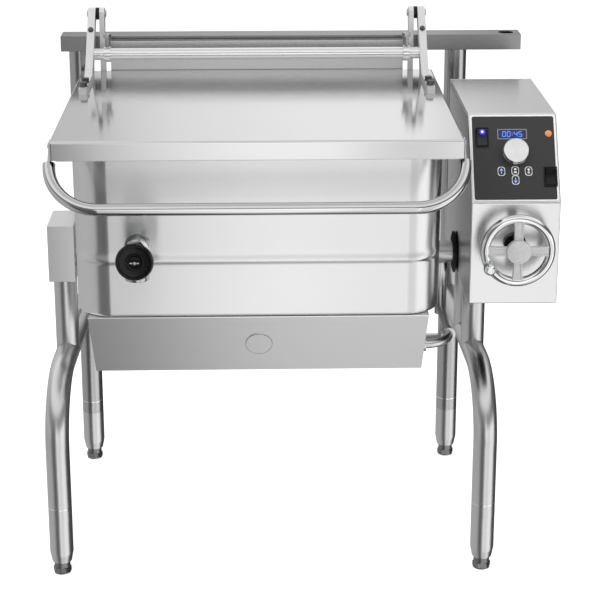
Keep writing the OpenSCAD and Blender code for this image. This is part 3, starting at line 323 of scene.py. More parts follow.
# A turned shape from pairs of radius and height, its axis along the z of the place matrix; a profile that
# ends where it starts gives a ring
def turned(profile, place, sides=64):
    bm = bmesh.new()
    isRing = profile[0] == profile[-1]
    rings = []
    for radius, height in profile[:-1] if isRing else profile:
        outline = ringOutline(radius, steps=sides) if radius > edgeShape["pole"] else [(0, 0)]
        rings.append(ringOf(bm, place, outline, height))
    joinRings(bm, rings + rings[:1] if isRing else rings)
    for ring in (rings[0], rings[-1]):
        if len(ring) > 1 and not isRing:
            bm.faces.new(ring)
    return bm


def axisPlace(origin, axis, up=(0, 0, 1)):
    z = Vector(axis).normalized()
    x = Vector(up).cross(z).normalized()
    y = z.cross(x)
    place = Matrix((x, y, z)).transposed().to_4x4()
    place.translation = Vector(origin)
    return place


# A rectangle with round corners, as the points of its outline
def roundOutline(centre, size, corner, steps=6):
    outline = []
    for sx, sy, start in ((1, 1, 0), (-1, 1, 90), (-1, -1, 180), (1, -1, 270)):
        cx = centre[0] + sx * (size[0] / 2 - corner)
        cy = centre[1] + sy * (size[1] / 2 - corner)
        for i in range(steps + 1):
            turn = math.radians(start + 90 * i / steps)
            outline.append((cx + corner * math.cos(turn), cy + corner * math.sin(turn)))
    return outline


# A flat plate of that outline in mm, in the x and y of the place matrix, from one height to another
def roundPlate(bm, place, centre, size, corner, low, high, steps=6):
    return prism(bm, place, roundOutline(centre, size, corner, steps), low, high)


# A prism over an outline in mm, in the x and y of the place matrix
def prism(bm, place, outline, low, high):
    rings = [ringOf(bm, place, outline, height) for height in (low, high)]
    for ring in rings:
        bm.faces.new(ring)
    joinRings(bm, rings)
    return bm


# Hex heads with their washers: a Geometry Nodes tree sets them on the given points, standing along z, and its
# result becomes a plain mesh

washerShape = {"thick": 1.2, "sides": 24}


def boltTree():
    tree = bpy.data.node_groups.new("hexHeads", "GeometryNodeTree")
    for label, kind in (("Points", "Geometry"), ("Head radius", "Float"), ("Head height", "Float"),
                        ("Washer radius", "Float"), ("Finish", "Material")):
        tree.interface.new_socket(label, in_out="INPUT", socket_type="NodeSocket" + kind)
    tree.interface.new_socket("Geometry", in_out="OUTPUT", socket_type="NodeSocketGeometry")
    given = addNode(tree, "NodeGroupInput").outputs
    head = addNode(tree, "GeometryNodeMeshCylinder", {"Vertices": 6, "Radius": given["Head radius"],
                   "Depth": given["Head height"]})
    washer = addNode(tree, "GeometryNodeMeshCylinder", {"Vertices": washerShape["sides"],
                     "Radius": given["Washer radius"], "Depth": washerShape["thick"] * mm})
    drop = addNode(tree, "ShaderNodeMath", {0: given["Head height"], 1: -0.5}, operation="MULTIPLY")
    under = addNode(tree, "ShaderNodeCombineXYZ", {2: drop})
    under = addNode(tree, "GeometryNodeTransform", {"Geometry": washer, "Translation": under})
    join = addNode(tree, "GeometryNodeJoinGeometry")
    for solid in (head, under):
        tree.links.new(solid.outputs[0], join.inputs[0])
    stand = addNode(tree, "GeometryNodeInstanceOnPoints", {"Points": given["Points"], "Instance": join})
    real = addNode(tree, "GeometryNodeRealizeInstances", {0: stand})
    coat = addNode(tree, "GeometryNodeSetMaterial", {"Geometry": real, "Material": given["Finish"]})
    addNode(tree, "NodeGroupOutput", {0: coat})
    return tree


hexTree = boltTree()


# size gives the radius and height of the head and the radius of the washer, in mm
def hexHeads(name, size, material, points=((0, 0, 0),)):
    mesh = bpy.data.meshes.new(name)
    mesh.from_pydata([Vector(p) for p in points], [], [])
    piece = linked(name, mesh)
    modifier = piece.modifiers.new("tree", "NODES")
    modifier.node_group = hexTree
    sockets = {item.name: item.identifier for item in hexTree.interface.items_tree}
    for label, value in zip(("Head radius", "Head height", "Washer radius"), size):
        modifier[sockets[label]] = value * mm
    modifier[sockets["Finish"]] = finish[material]
    return bakeModifiers(piece)


# Frame, tubes and plates that the model already has right: the same shapes with softened edges

softEdges = {  # edge radius in mm
    "rear_beam": 1.1, "burner_box": 0.7, "trunnion_housing": 0.7, "lid_arms": 1.2, "hinge_brackets": 0.8,
    "flue_riser": 0.6, "pan_vessel": 0.0, "console_back": 0.4, "console_base": 0.4,
    "leg_rail_left": 0.0, "leg_rail_right": 0.0, "rear_posts": 0.0, "upright_left": 0.0, "console_posts": 0.0,
    "cross_pipe": 0.0, "leg_sleeves": 0.0, "trunnion_shafts": 0.0, "gas_pipe": 0.0, "gas_inlet": 0.4,
    "foot_front_left": 0.6, "foot_front_right": 0.6, "foot_rear_left": 0.6, "foot_rear_right": 0.6,
    "sight_plug": 0.4, "console_screws": 0.3, "rocker_bezels": 0.8, "hinge_pins": 0.5,
    "hinge_spacers": 0.6, "cross_tube": 0.5, "lid_bolts": 0.6, "lid_handle": 0.0, "wheel_rim": 0.0,
    "wheel_bushing": 0.6, "valve_stem": 0.3, "cord_gland": 0.4,
}
# The burner box and its plug take the paler copy of the pan's steel, as painted light; the riser and the pieces
# behind the pan take darker copies, as painted shade.
otherSheet = {"burner_box": "lit_box_sheet", "sight_plug": "lit_box_sheet", "rear_beam": "shaded_back_sheet",
              "flue_riser": "shaded_riser_sheet", "rear_posts": "shaded_back_tube", "cross_pipe": "shaded_back_tube",
              "trunnion_shafts": "shaded_back_tube", "cross_tube": "cross_steel"}
thinner = {"trunnion_shafts": 0.15}  # turns in its bearings
for nodeName, radius in softEdges.items():
    roundedCopy(nodeName, radius, material=otherSheet.get(nodeName), thinner=thinner.get(nodeName, 0.0))
print("softened pieces:", len(softEdges))


# Thin bright weld line at the top of each leg sleeve

weldShape = {"tube": 25.4, "sunk": 0.6, "proud": 0.15, "half": 1.4, "flat": 1.0}


def makeSleeveRings():
    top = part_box("leg_sleeves")[1].z
    inner, outer = weldShape["tube"] - weldShape["sunk"], weldShape["tube"] + weldShape["proud"]
    half, flat = weldShape["half"], weldShape["flat"]
    profile = [(inner, -half), (outer, -flat), (outer, flat), (inner, half), (inner, -half)]
    for name in ("front_left", "front_right", "rear_left", "rear_right"):
        low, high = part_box("foot_" + name)
        place = Matrix.Translation(((low.x + high.x) / 2, (low.y + high.y) / 2, top))
        bm = turned(profile, place, sides=48)
        newPiece("sleeve_ring_" + name, bm, "chrome_plate", "frame")


# Dark bolts: two heads on the foot of each lid arm and a small one high on its front edge

armBolts = {
    "left": 33.7, "right": 33.6,  # in from the ends of the row of lid bolts
    "foot": 1015.6, "rows": (28.0, 72.0), "footSize": (7.8, 9.6, 9.0),
    "front": 1098.0, "proud": 1.8, "frontSize": (5.6, 4.0, 6.6),
}


def makeArmBolts():
    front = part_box("lid_arms")[0].y
    low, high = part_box("lid_bolts")
    arms = {"left": low.x + armBolts["left"] * mm, "right": high.x - armBolts["right"] * mm}
    points = [(x, front + row * mm, armBolts["foot"] * mm) for x in arms.values() for row in armBolts["rows"]]
    heads = [hexHeads("arm_bolts", armBolts["footSize"], "bolt_steel", points)]
    skin = nodes["lid_arms"].data
    surfaceTree = BVHTree.FromPolygons([v.co for v in skin.vertices], [f.vertices for f in skin.polygons])
    for side, x in arms.items():
        spot, out = surfaceTree.ray_cast(Vector((x, -1, armBolts["front"] * mm)), Vector((0, 1, 0)))[:2]
        if spot:
            heads.append(hexHeads("arm_bolt_" + side, armBolts["frontSize"], "bolt_steel"))
            heads[-1].data.transform(axisPlace(spot + out * armBolts["proud"] * mm, out))
    for head in heads:
        finishPiece(head, "bolt_steel", bodyOf["lid_bolts"])


# A thin ring round the sight plug of the burner box, on the plug's largest face that looks ahead

plugRing = {"inside": 0.8, "outside": 0.4, "foot": 0.7, "proud": 0.2, "sunk": 0.5, "ahead": -0.3, "near": 0.05}


def makePlugRing():
    plug = nodes["sight_plug"].data
    face = max((f for f in plug.polygons if f.normal.y < plugRing["ahead"]), key=lambda f: f.area)
    reach = max(v.co.dot(face.normal) for v in plug.vertices)
    spots = [v.co for v in plug.vertices if v.co.dot(face.normal) > reach - plugRing["near"] * mm]
    centre = sum(spots, Vector()) / len(spots)
    radius = max((s - centre).length for s in spots) / mm
    inner, outer, foot = radius - plugRing["inside"], radius + plugRing["outside"], radius + plugRing["foot"]
    proud, sunk = plugRing["proud"], -plugRing["sunk"]
    ring = [(inner, sunk), (inner, proud), (outer, proud), (foot, sunk), (inner, sunk)]
    newPiece("sight_plug_ring", turned(ring, axisPlace(centre, face.normal)), "valve_steel", "pan")


# The rubber seal round the right trunnion: a disc that thins in two steps towards its rim

sealShape = {"rim": 2.2, "step": 2.0, "rise": 1.0, "waist": 9.0}


def makeSeal():
    low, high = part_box("trunnion_seal")
    centre = (low + high) / 2
    radius, half = (high.z - low.z) / 2 / mm, (high.x - low.x) / 2 / mm
    spots = [v.co - centre for v in nodes["trunnion_seal"].data.vertices]
    bore = min(math.hypot(s.y, s.z) for s in spots) / mm
    rim, rise = sealShape["rim"] / 2, sealShape["rim"] / 2 + sealShape["rise"]
    waist, step = radius - sealShape["waist"], radius - sealShape["step"]
    profile = [(bore, -half), (waist, -half), (step, -rise), (radius, -rim), (radius, rim), (step, rise),
               (waist, half), (bore, half), (bore, -half)]
    newPiece("trunnion_seal_disc", turned(profile, axisPlace(centre, (1, 0, 0)), sides=72), "black_rubber",
             bodyOf["trunnion_seal"], ["trunnion_seal"])


makeSleeveRings()
makeArmBolts()
makePlugRing()
makeSeal()
print("weld lines, arm bolts, plug ring and seal done")


# Lid: a folded pan of sheet, open below

lidShape = {"fold": 5.0, "foldSteps": 5, "sheet": 2.0}


def makeLid():
    low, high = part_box("lid_shell")
    bm = bmesh.new()
    bmesh.ops.create_cube(bm, size=1.0)
    for vert in bm.verts:
        vert.co = Vector(low[i] if vert.co[i] < 0 else high[i] for i in range(3))
    under = min(bm.faces, key=lambda f: f.calc_center_median().z)
    bmesh.ops.delete(bm, geom=[under], context="FACES_ONLY")
    folds = [e for e in bm.edges if len(e.link_faces) == 2]
    bmesh.ops.bevel(bm, geom=folds, offset=lidShape["fold"] * mm, segments=lidShape["foldSteps"], profile=0.5,
                    affect="EDGES")
    bmesh.ops.recalc_face_normals(bm, faces=bm.faces)
    lid = addWall(looseObject("lid_skin", bm), lidShape["sheet"], even=True)
    finishPiece(lid, "lid_sheet", "lid", ["lid_shell"])


makeLid()
print("lid done")


# Pan jacket: sheet drawn round four upright corners; its front leans out above a rolled crease. The lagging
# inside it has the same form.

jacketShape = {"corner": 74.0, "edge": 8.0, "lean": 14.0, "leanPast": 4.0, "crease": 87.0, "roll": 17.0,
               "under": 0.5, "bead": 4.6, "beadFall": 2.5, "smooth": 50}
jacketSheet = {"thick": 2.0, "inset": 0.0, "drop": 0.0}
laggingSheet = {"thick": 22.0, "inset": 2.4, "drop": 2.0}
jacketSteps = {"edge": 6, "roll": 32, "above": (0.4, 0.7, 1.0), "corner": 12}


def makeJacket(name, node, material, sheet):
    low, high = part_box("pan_jacket")
    creaseZ = Vector(jointOf["pan_tilt"]["pos_m"]).z + jacketShape["crease"] * mm
    rise = high.z - creaseZ
    corner, edge, roll, bead = (jacketShape[key] * mm for key in ("corner", "edge", "roll", "bead"))
    inset, drop = sheet["inset"] * mm, sheet["drop"] * mm
    lean = jacketShape["lean"] * mm * rise / (rise + jacketShape["leanPast"] * mm)
    levels = []  # height, and how far the outline shrinks there
    for i in range(jacketSteps["edge"] + 1):
        turn = math.radians(90 * i / jacketSteps["edge"])
        levels.append((low.z + inset + edge * (1 - math.cos(turn)), edge * (1 - math.sin(turn))))
    steps = jacketSteps["roll"]
    levels += [(creaseZ - 2 * roll + 4 * roll * i / steps, 0) for i in range(steps + 1)]
    levels += [(creaseZ + (rise - drop) * share, 0) for share in jacketSteps["above"]]
    bm = bmesh.new()
    rings = []
    for z, shrink in levels:
        front = low.y + lean - lean * max(0, z - creaseZ) / rise
        side = roll if z > creaseZ else roll * jacketShape["under"]
        front -= bead * math.exp(-((z - creaseZ) / side) ** 2 * jacketShape["beadFall"])
        less = shrink + inset
        outline = roundOutline(((low.x + high.x) / 2, (front + high.y) / 2),
                               (high.x - low.x - 2 * less, high.y - front - 2 * less), corner - less,
                               jacketSteps["corner"])
        rings.append([bm.verts.new((x, y, z)) for x, y in outline])
    joinRings(bm, rings)
    if not drop:
        bm.faces.new(rings[0])
    bmesh.ops.recalc_face_normals(bm, faces=bm.faces)
    skin = addWall(looseObject(name, bm), sheet["thick"])
    finishPiece(skin, material, "pan", [node], jacketShape["smooth"])


# The lip of the burner box, turned in under the front of the jacket

flangeShape = {"wide": 30.0, "sheet": 1.6}


def makeFlange():
    low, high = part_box("burner_box")
    left, right, front, top = low.x / mm, high.x / mm, low.y / mm, high.z / mm
    back = front + flangeShape["wide"]
    bm = prism(bmesh.new(), Matrix(), rectangle(left, front, right, back), top - flangeShape["sheet"], top)
    # in the burner box's paler copy of the steel, as painted light
    newPiece("burner_box_flange", bm, "lit_box_sheet", "pan")


makeJacket("jacket_skin", "pan_jacket", "satin_sheet", jacketSheet)
makeFlange()
makeJacket("lagging_skin", "insulation", "lagging_wool", laggingSheet)
print("jacket done")


# Console: one folded shell with a leaning panel face, and the folded seam along the top of its left side

consoleShape = {"fold": 3.0, "foldSteps": 4, "near": 1.0, "onSide": 0.1}
# The slot is a strip of black rubber where the folded seam has only a groove: painted shade.
seamShape = {"from": 112.0, "to": 4.0, "sunk": 0.4, "strips": {  # depth below the top, height, how proud
    "edge": ("console_sheet", 6.0, 1.6, 0.5), "slot": ("black_rubber", 7.8, 1.4, 0.2)}}


def makeConsole():
    low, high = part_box("console_shell")
    near = consoleShape["near"] * mm
    side = [v.co for v in nodes["console_shell"].data.vertices if v.co.x > high.x - consoleShape["onSide"] * mm]
    panelFoot = max(v.z for v in side if v.y < low.y + near)
    panelHead = min(v.y for v in side if v.z > high.z - near)
    corners = [(low.y, low.z), (low.y, panelFoot), (panelHead, high.z), (high.y, high.z), (high.y, low.z)]
    outline = [(y / mm, z / mm) for y, z in corners]
    fromLeft = Matrix(((0, 0, 1, 0), (1, 0, 0, 0), (0, 1, 0, 0), (0, 0, 0, 1)))
    bm = prism(bmesh.new(), fromLeft, outline, low.x / mm, high.x / mm)
    bmesh.ops.recalc_face_normals(bm, faces=bm.faces)
    least = math.radians(edgeShape["bevelFrom"])
    folds = [e for e in bm.edges if e.calc_face_angle(0) > least]
    bmesh.ops.bevel(bm, geom=folds, offset=consoleShape["fold"] * mm, segments=consoleShape["foldSteps"],
                    profile=0.5, affect="EDGES", clamp_overlap=True)
    newPiece("console_skin", bm, "console_sheet", "frame", ["console_shell"])


def makeSeam():
    low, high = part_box("console_shell")
    outOfLeft = Matrix(((0, 0, -1, low.x), (1, 0, 0, 0), (0, 1, 0, 0), (0, 0, 0, 1)))
    start, end = low.y / mm + seamShape["from"], high.y / mm - seamShape["to"]
    for name, (material, depth, tall, proud) in seamShape["strips"].items():
        top = high.z / mm - depth
        bm = prism(bmesh.new(), outOfLeft, rectangle(start, top - tall, end, top), -seamShape["sunk"], proud)
        newPiece("console_seam_" + name, bm, material, "frame")


makeConsole()
makeSeam()
print("console done")


# The panel's own frame: x to the right, y up the panel, z out of it, in mm from the overlay's middle

def panelPlace():
    out = -Vector(jointOf["button_up_press"]["axis"])
    right = Vector((1, 0, 0))
    up = out.cross(right)
    corners = [v.co for v in nodes["control_overlay"].data.vertices]
    face = max(c.dot(out) for c in corners)
    heights = [c.dot(up) for c in corners]
    widths = [c.x for c in corners]
    middle = right * (min(widths) + max(widths)) / 2 + up * (min(heights) + max(heights)) / 2 + out * face
    place = Matrix((right, up, out)).transposed().to_4x4()
    place.translation = middle
    return place, [(max(across) - min(across)) / mm for across in (widths, heights)]


panel, panelSize = panelPlace()


# The middle and size of a node on the panel, and how low and high it stands there
def onPanel(nodeName):
    inverse = panel.inverted()
    spots = [inverse @ v.co / mm for v in nodes[nodeName].data.vertices]
    low, high = ([pick(s[i] for s in spots) for i in range(3)] for pick in (min, max))
    centre = ((low[0] + high[0]) / 2, (low[1] + high[1]) / 2)
    return centre, (high[0] - low[0], high[1] - low[1]), low[2], high[2]


def panelPiece(name, centre, size, corner, low, high, material, body, replaced=(), slot=None):
    bm = roundPlate(bmesh.new(), panel, centre, size, corner, low, high)
    newPiece(name, bm, material, body, replaced)


# Keys: dark face, pale outline and a plain mark; each rides with its own button

keyShape = {"corner": 5.5, "line": 1.1, "least": 0.5, "outlineLow": 0.25, "faceLow": 0.1, "markDeep": 0.3}
# the blue ink of the arrow keys glows: painted light
keyMarks = {  # ink, then the outlines of the mark
    "button_up": ("painted_glow_key_ink", [[(-3.6, 1.5), (3.6, 1.5), (0, 6.5)], rectangle(-0.9, -5, 0.9, 0)]),
    "button_time": ("pale_print", [ringOutline(2.6, (0, 3.2)),
                                   [(-3.6, -5), (3.6, -5), (2.2, -1.2), (-2.2, -1.2)]]),
    "button_probe": ("pale_print", [ringOutline(2.4, (0, 3.4)), rectangle(-0.8, -6, 0.8, 1),
                                    rectangle(-3, -3.4, 3, -2)]),
    "button_down": ("painted_glow_key_ink", [[(-3.6, -1.5), (0, -6.5), (3.6, -1.5)], rectangle(-0.9, 0, 0.9, 5)]),
}


def makeKey(name, ink, mark):
    centre, size, low, top = onPanel(name)
    inner = [side - 2 * keyShape["line"] for side in size]
    corner, innerCorner = (min(keyShape["corner"], width / 2 - keyShape["least"]) for width, _ in (size, inner))
    body = bodyOf[name]
    panelPiece(name + "_outline", centre, size, corner, low, top - keyShape["outlineLow"], "pale_print", body,
               slot="button_black")
    panelPiece(name + "_face", centre, inner, innerCorner, low, top - keyShape["faceLow"], "button_black", body,
               [name])
    bm = bmesh.new()
    for outline in mark:
        spots = [(centre[0] + x, centre[1] + y) for x, y in outline]
        prism(bm, panel, spots, top - keyShape["markDeep"], top)
    newPiece(name + "_mark", bm, ink, body)


# Overlay: a pale rim and a black field, each a sheet with an opening round every key

overlayShape = {"rim": 3.0, "corner": 6.0, "innerCorner": 4.0, "keyGap": 0.2, "rimSheet": (-0.9, -0.1),
                "fieldSheet": (-0.7, 0)}


def overlayPlate(name, size, corner, levels, material, replaced=()):
    outlines = [roundOutline((0, 0), size, corner)]
    for key in keyMarks:
        centre, keySize = onPanel(key)[:2]
        gap = overlayShape["keyGap"]
        wide = [side + 2 * gap for side in keySize]
        outlines.append(roundOutline(centre, wide, min(keyShape["corner"], wide[0] / 2 - gap)))
    bm = bmesh.new()
    sheets = []
    for level in levels:
        rings = [ringOf(bm, panel, outline, level) for outline in outlines]
        edges = [bm.edges.new((ring[i - 1], ring[i])) for ring in rings for i in range(len(ring))]
        bmesh.ops.triangle_fill(bm, edges=edges, use_beauty=True)
        sheets.append(rings)
    for rings in zip(*sheets):
        joinRings(bm, rings)
    newPiece(name, bm, material, "frame", replaced)


def makeOverlay():
    inner = [side - 2 * overlayShape["rim"] for side in panelSize]
    overlayPlate("overlay_rim", panelSize, overlayShape["corner"], overlayShape["rimSheet"], "pale_print")
    overlayPlate("overlay_field", inner, overlayShape["innerCorner"], overlayShape["fieldSheet"],
                 "overlay_black", ["control_overlay"])


# Display: a grey frame, a dark window and lit digits of seven bars

displayShape = {"frame": 3.0, "frameCorner": 1.5, "frameSheet": (-0.1, 0.5), "glass": -1.0, "glassCorner": 1.0,
                "glassSheet": (0, 0.65), "litSheet": (0.6, 0.9), "litCorner": 0.4, "dotCorner": 0.3, "cut": 0.6,
                "tall": 10.5, "wide": 6.2, "stroke": 1.5, "slant": 0.08, "gap": 2.6, "shown": "00:45"}
# the lit bars of each digit, from a to g: top, upper right, lower right, bottom, lower left, upper left, middle
litBars = {"0": "abcdef", "4": "bcfg", "5": "acdfg"}


def makeDisplay():
    centre, size = onPanel("display_window")[:2]
    for name, material, slot, replaced in (("frame", "grey_print", "display_blue", []),
                                           ("glass", "display_blue", None, ["display_window"])):
        more, corner, sheet = (displayShape[name + part] for part in ("", "Corner", "Sheet"))
        panelPiece("display_" + name, centre, [side + more for side in size], corner, *sheet, material, "frame",
                   replaced, slot)
    tall, wide, stroke = (displayShape[key] for key in ("tall", "wide", "stroke"))
    bars = {"a": (0, tall / 2, wide, stroke), "d": (0, -tall / 2, wide, stroke), "g": (0, 0, wide, stroke),
            "b": (wide / 2, tall / 4, stroke, tall / 2), "c": (wide / 2, -tall / 4, stroke, tall / 2),
            "f": (-wide / 2, tall / 4, stroke, tall / 2), "e": (-wide / 2, -tall / 4, stroke, tall / 2)}
    bm = bmesh.new()
    step = wide + displayShape["gap"] + stroke / 2
    cursor = centre[0] - 2 * step + step / 4
    for sign in displayShape["shown"]:
        if sign == ":":
            for dy in (-tall / 5, tall / 5):
                roundPlate(bm, panel, (cursor - step / 4, centre[1] + dy), (stroke, stroke),
                           displayShape["dotCorner"], *displayShape["litSheet"], 2)
            cursor += step / 2
            continue
        for x, y, *barSize in (bars[bar] for bar in litBars[sign]):
            spot = (cursor + x + displayShape["slant"] * y, centre[1] + y)
            barSize = [max(side - displayShape["cut"], stroke) for side in barSize]
            roundPlate(bm, panel, spot, barSize, displayShape["litCorner"], *displayShape["litSheet"], 2)
        cursor += step
    newPiece("display_digits", bm, "digit_blue", "frame")


makeOverlay()
makeDisplay()
for key, (ink, mark) in keyMarks.items():
    makeKey(key, ink, mark)
print("panel done")


# Temperature knob: turned aluminium with a groove; the tool's rings on its face catch the light in two cones

def makeTempKnob():
    size, low, high = onPanel("temp_knob")[1:]
    joint = jointOf["temp_knob_turn"]
    lift = (panel.inverted() @ Vector(joint["pos_m"])).z / mm
    top, base, r = high - lift, low - lift, size[0] / 2
    profile = [(r * 0.55, base), (r - 0.8, base), (r, base + 0.8), (r, top * 0.5), (r - 0.5, top * 0.52),
               (r - 0.5, top * 0.58), (r, top * 0.6), (r, top - 1.6), (r - 0.5, top - 0.5),
               (r - 1.6, top), (r - 2.0, top - 0.2), (r * 0.5, top - 0.5), (0, top - 0.6)]
    bm = turned(profile, axisPlace(joint["pos_m"], joint["axis"]), sides=96)
    newPiece("temp_knob_skin", bm, "turned_aluminium", bodyOf["temp_knob"], ["temp_knob"])


# Rockers: a shallow V seen from the side; the power one has a lit spot in its upper half

rockerShape = {"edge": 0.8, "upper": 8.0, "deep": 2.2, "lights": {  # radius, distance from the top, how proud
    "halo": ("halo_blue", 7.0, 8.5, 0.06), "glow": ("glow_blue", 5.0, 8.0, 0.12),
    "core": ("glow_white", 2.4, 8.0, 0.2)}}


def makeRockers():
    name = "power_rocker"
    roundedCopy(name, rockerShape["edge"])
    centre, size = onPanel(name)[:2]
    top = centre[1] + size[1] / 2
    spots = [panel.inverted() @ v.co / mm for v in nodes[name].data.vertices]
    face = max(s.z for s in spots if s.y > top - rockerShape["upper"])
    for light, (material, radius, below, proud) in rockerShape["lights"].items():
        outline = ringOutline(radius, (centre[0], top - below), 24)
        bm = prism(bmesh.new(), panel, outline, face - rockerShape["deep"], face + proud)
        newPiece(name + "_" + light, bm, material, bodyOf[name])
    roundedCopy("mode_rocker", rockerShape["edge"])


# Alarm lamp: an orange dome in a steel ring

lampShape = {"ring": [(0, 0), (0, 0.8), (-0.5, 1.1), (-1.2, 1.1), (-1.4, 0.9)],  # from the lamp's own radius
             "dome": -1.4, "foot": 0.4, "shoulder": 0.9, "steps": 6}


def makeLamp():
    centre, size, _, top = onPanel("alarm_lamp")
    place = panel @ Matrix.Translation((centre[0] * mm, centre[1] * mm, 0))
    ring = [(size[0] / 2 + out, height) for out, height in lampShape["ring"]]
    r, shoulder = size[0] / 2 + lampShape["dome"], lampShape["shoulder"]
    dome = [(r, lampShape["foot"])]
    for i in range(lampShape["steps"] + 1):
        turn = math.radians(90 * i / lampShape["steps"])
        dome.append((r * math.cos(turn), shoulder + (top - shoulder) * math.sin(turn)))
    newPiece("lamp_ring", turned(ring, place, sides=40), "fastener_steel", "frame")
    newPiece("lamp_dome", turned(dome, place, sides=40), "lamp_orange", "frame", ["alarm_lamp"])


makeTempKnob()
makeRockers()
makeLamp()
print("panel controls done")


# Hand wheel: chromed rim, cast hub with four ridged spokes, and the turning crank knob

wheelShape = {"spokes": 4, "hubRadius": 25.0, "spokeWidth": 18.0, "rimWidth": 22.0, "thick": 11.0, "edge": 3.2,
              "hollow": 2.0, "slope": 0.8, "round": 1.0, "rimTube": 19.0, "intoRim": 4.0, "intoHub": 3.0,
              "setBack": 5.5, "steps": 8}


def makeSpider():
    low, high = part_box("wheel_spider")
    rimLow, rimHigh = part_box("wheel_rim")
    centre = Vector(jointOf["hand_wheel_turn"]["pos_m"])
    place = axisPlace((centre.x, low.y, centre.z), (0, -1, 0))
    hub = wheelShape["hubRadius"]
    profile = [(hub * 0.6, -(high.y - low.y) / mm), (hub * 0.7, -14), (hub - 1, -12), (hub, -10.5), (hub, -1.5),
               (hub - 0.5, -0.4), (hub - 1.6, 0.2), (hub * 0.5, 0.9), (0, 1.1)]
    bm = turned(profile, place)
    start = hub - wheelShape["intoHub"]
    end = (rimHigh.x - rimLow.x) / 2 / mm - wheelShape["rimTube"] + wheelShape["intoRim"]
    for index in range(wheelShape["spokes"]):
        turn = Matrix.Rotation(2 * math.pi * index / wheelShape["spokes"], 4, "Z")
        addSpoke(bm, place @ turn, start, end)
    newPiece("wheel_spider_skin", bm, "cast_aluminium", bodyOf["wheel_spider"], ["wheel_spider"])


# One spoke along x: a channel with raised edges that widens into the rim
def addSpoke(bm, place, start, end):
    edge, slope, bend = (wheelShape[key] for key in ("edge", "slope", "round"))
    face = -wheelShape["setBack"]
    floor, back = face - wheelShape["hollow"], face - wheelShape["thick"]
    rings = []
    for i in range(wheelShape["steps"] + 1):
        share = i / wheelShape["steps"]
        x = start + (end - start) * share
        width = wheelShape["spokeWidth"] + (wheelShape["rimWidth"] - wheelShape["spokeWidth"]) * share ** 4
        half = width / 2
        section = [(-half, back + bend), (-half, face - bend), (-half + bend, face), (-half + edge, face),
                   (-half + edge + slope, floor), (half - edge - slope, floor), (half - edge, face),
                   (half - bend, face), (half, face - bend), (half, back + bend), (half - bend, back),
                   (-half + bend, back)]
        rings.append([bm.verts.new(place @ Vector((x * mm, y * mm, h * mm))) for y, h in section])
    joinRings(bm, rings)
    for ring in (rings[0], rings[-1]):
        bm.faces.new(ring)


def makeCrankKnob():
    low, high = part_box("crank_knob")
    centre = Vector(jointOf["crank_knob_spin"]["pos_m"])
    place = axisPlace((centre.x, high.y, centre.z), (0, -1, 0))
    long = (high.y - low.y) / mm
    r = (high.x - low.x) / 2 / mm
    profile = [(r * 0.45, 0), (r * 0.5, 0.5), (r * 0.62, 3), (r * 0.86, long * 0.3), (r, long * 0.55),
               (r * 0.97, long * 0.72), (r * 0.84, long * 0.88), (r * 0.62, long * 0.97), (r * 0.5, long - 0.2),
               (r * 0.47, long), (r * 0.32, long), (r * 0.29, long - 0.8), (r * 0.12, long - 0.8),
               (r * 0.10, long - 0.2), (0, long - 0.1)]
    bm = turned(profile, place, sides=56)
    newPiece("crank_knob_skin", bm, "chrome_plate", bodyOf["crank_knob"], ["crank_knob"])


makeSpider()
makeCrankKnob()
print("hand wheel done")


# Draw-off valve: satin body with a collar and a hex bonnet, an outlet below, and a glossy black knob
# with a rolled rim, a grainy ring and a bright winged screw in raised rings

valveShape = {
    "body": [(15, -30), (15, -2), (26, -2), (27, -1), (27, 3), (26.2, 4.2), (22.6, 4.6), (22.6, 33), (21, 34.5),
             (21, 70), (17, 72), (17, 79), (6, 79), (6, 60), (0, 60)],
    "outlet": [(19, 5), (19, 27), (23.4, 28.5), (24, 30), (24, 55.4), (23, 57), (18, 57), (17, 55.6), (17, 30),
               (0, 30)],
    "knob": [(10, 0), (22, 0.8), (31, 3), (35, 6.5), (37.1, 11), (37.5, 14), (37, 17), (35.4, 19.8),
             (33.4, 20.8), (31.6, 20.4), (30.4, 19), (30, 17.4), (28.6, 16.8), (18.6, 16.4), (17.8, 17.6),
             (16.8, 18), (15.8, 17.4), (15.2, 16), (13.8, 15.8), (13.2, 17.8), (12.4, 19), (11.2, 19),
             (10.4, 17.6), (9.8, 14), (0, 14)],
    "pin": [(3.6, 14), (3.6, 21), (3, 22.6), (1.6, 23.6), (0, 23.9)],
    "wing": {"out": 6.6, "size": (5.4, 2.6), "corner": 1.2, "from": 17, "to": 21.4},
    "bonnet": (27.0, 17.0, 25.0), "bonnetPlace": 46.0, "bonnetTurn": 10.0, "wall": 80.0, "outletOut": 39.0,
}


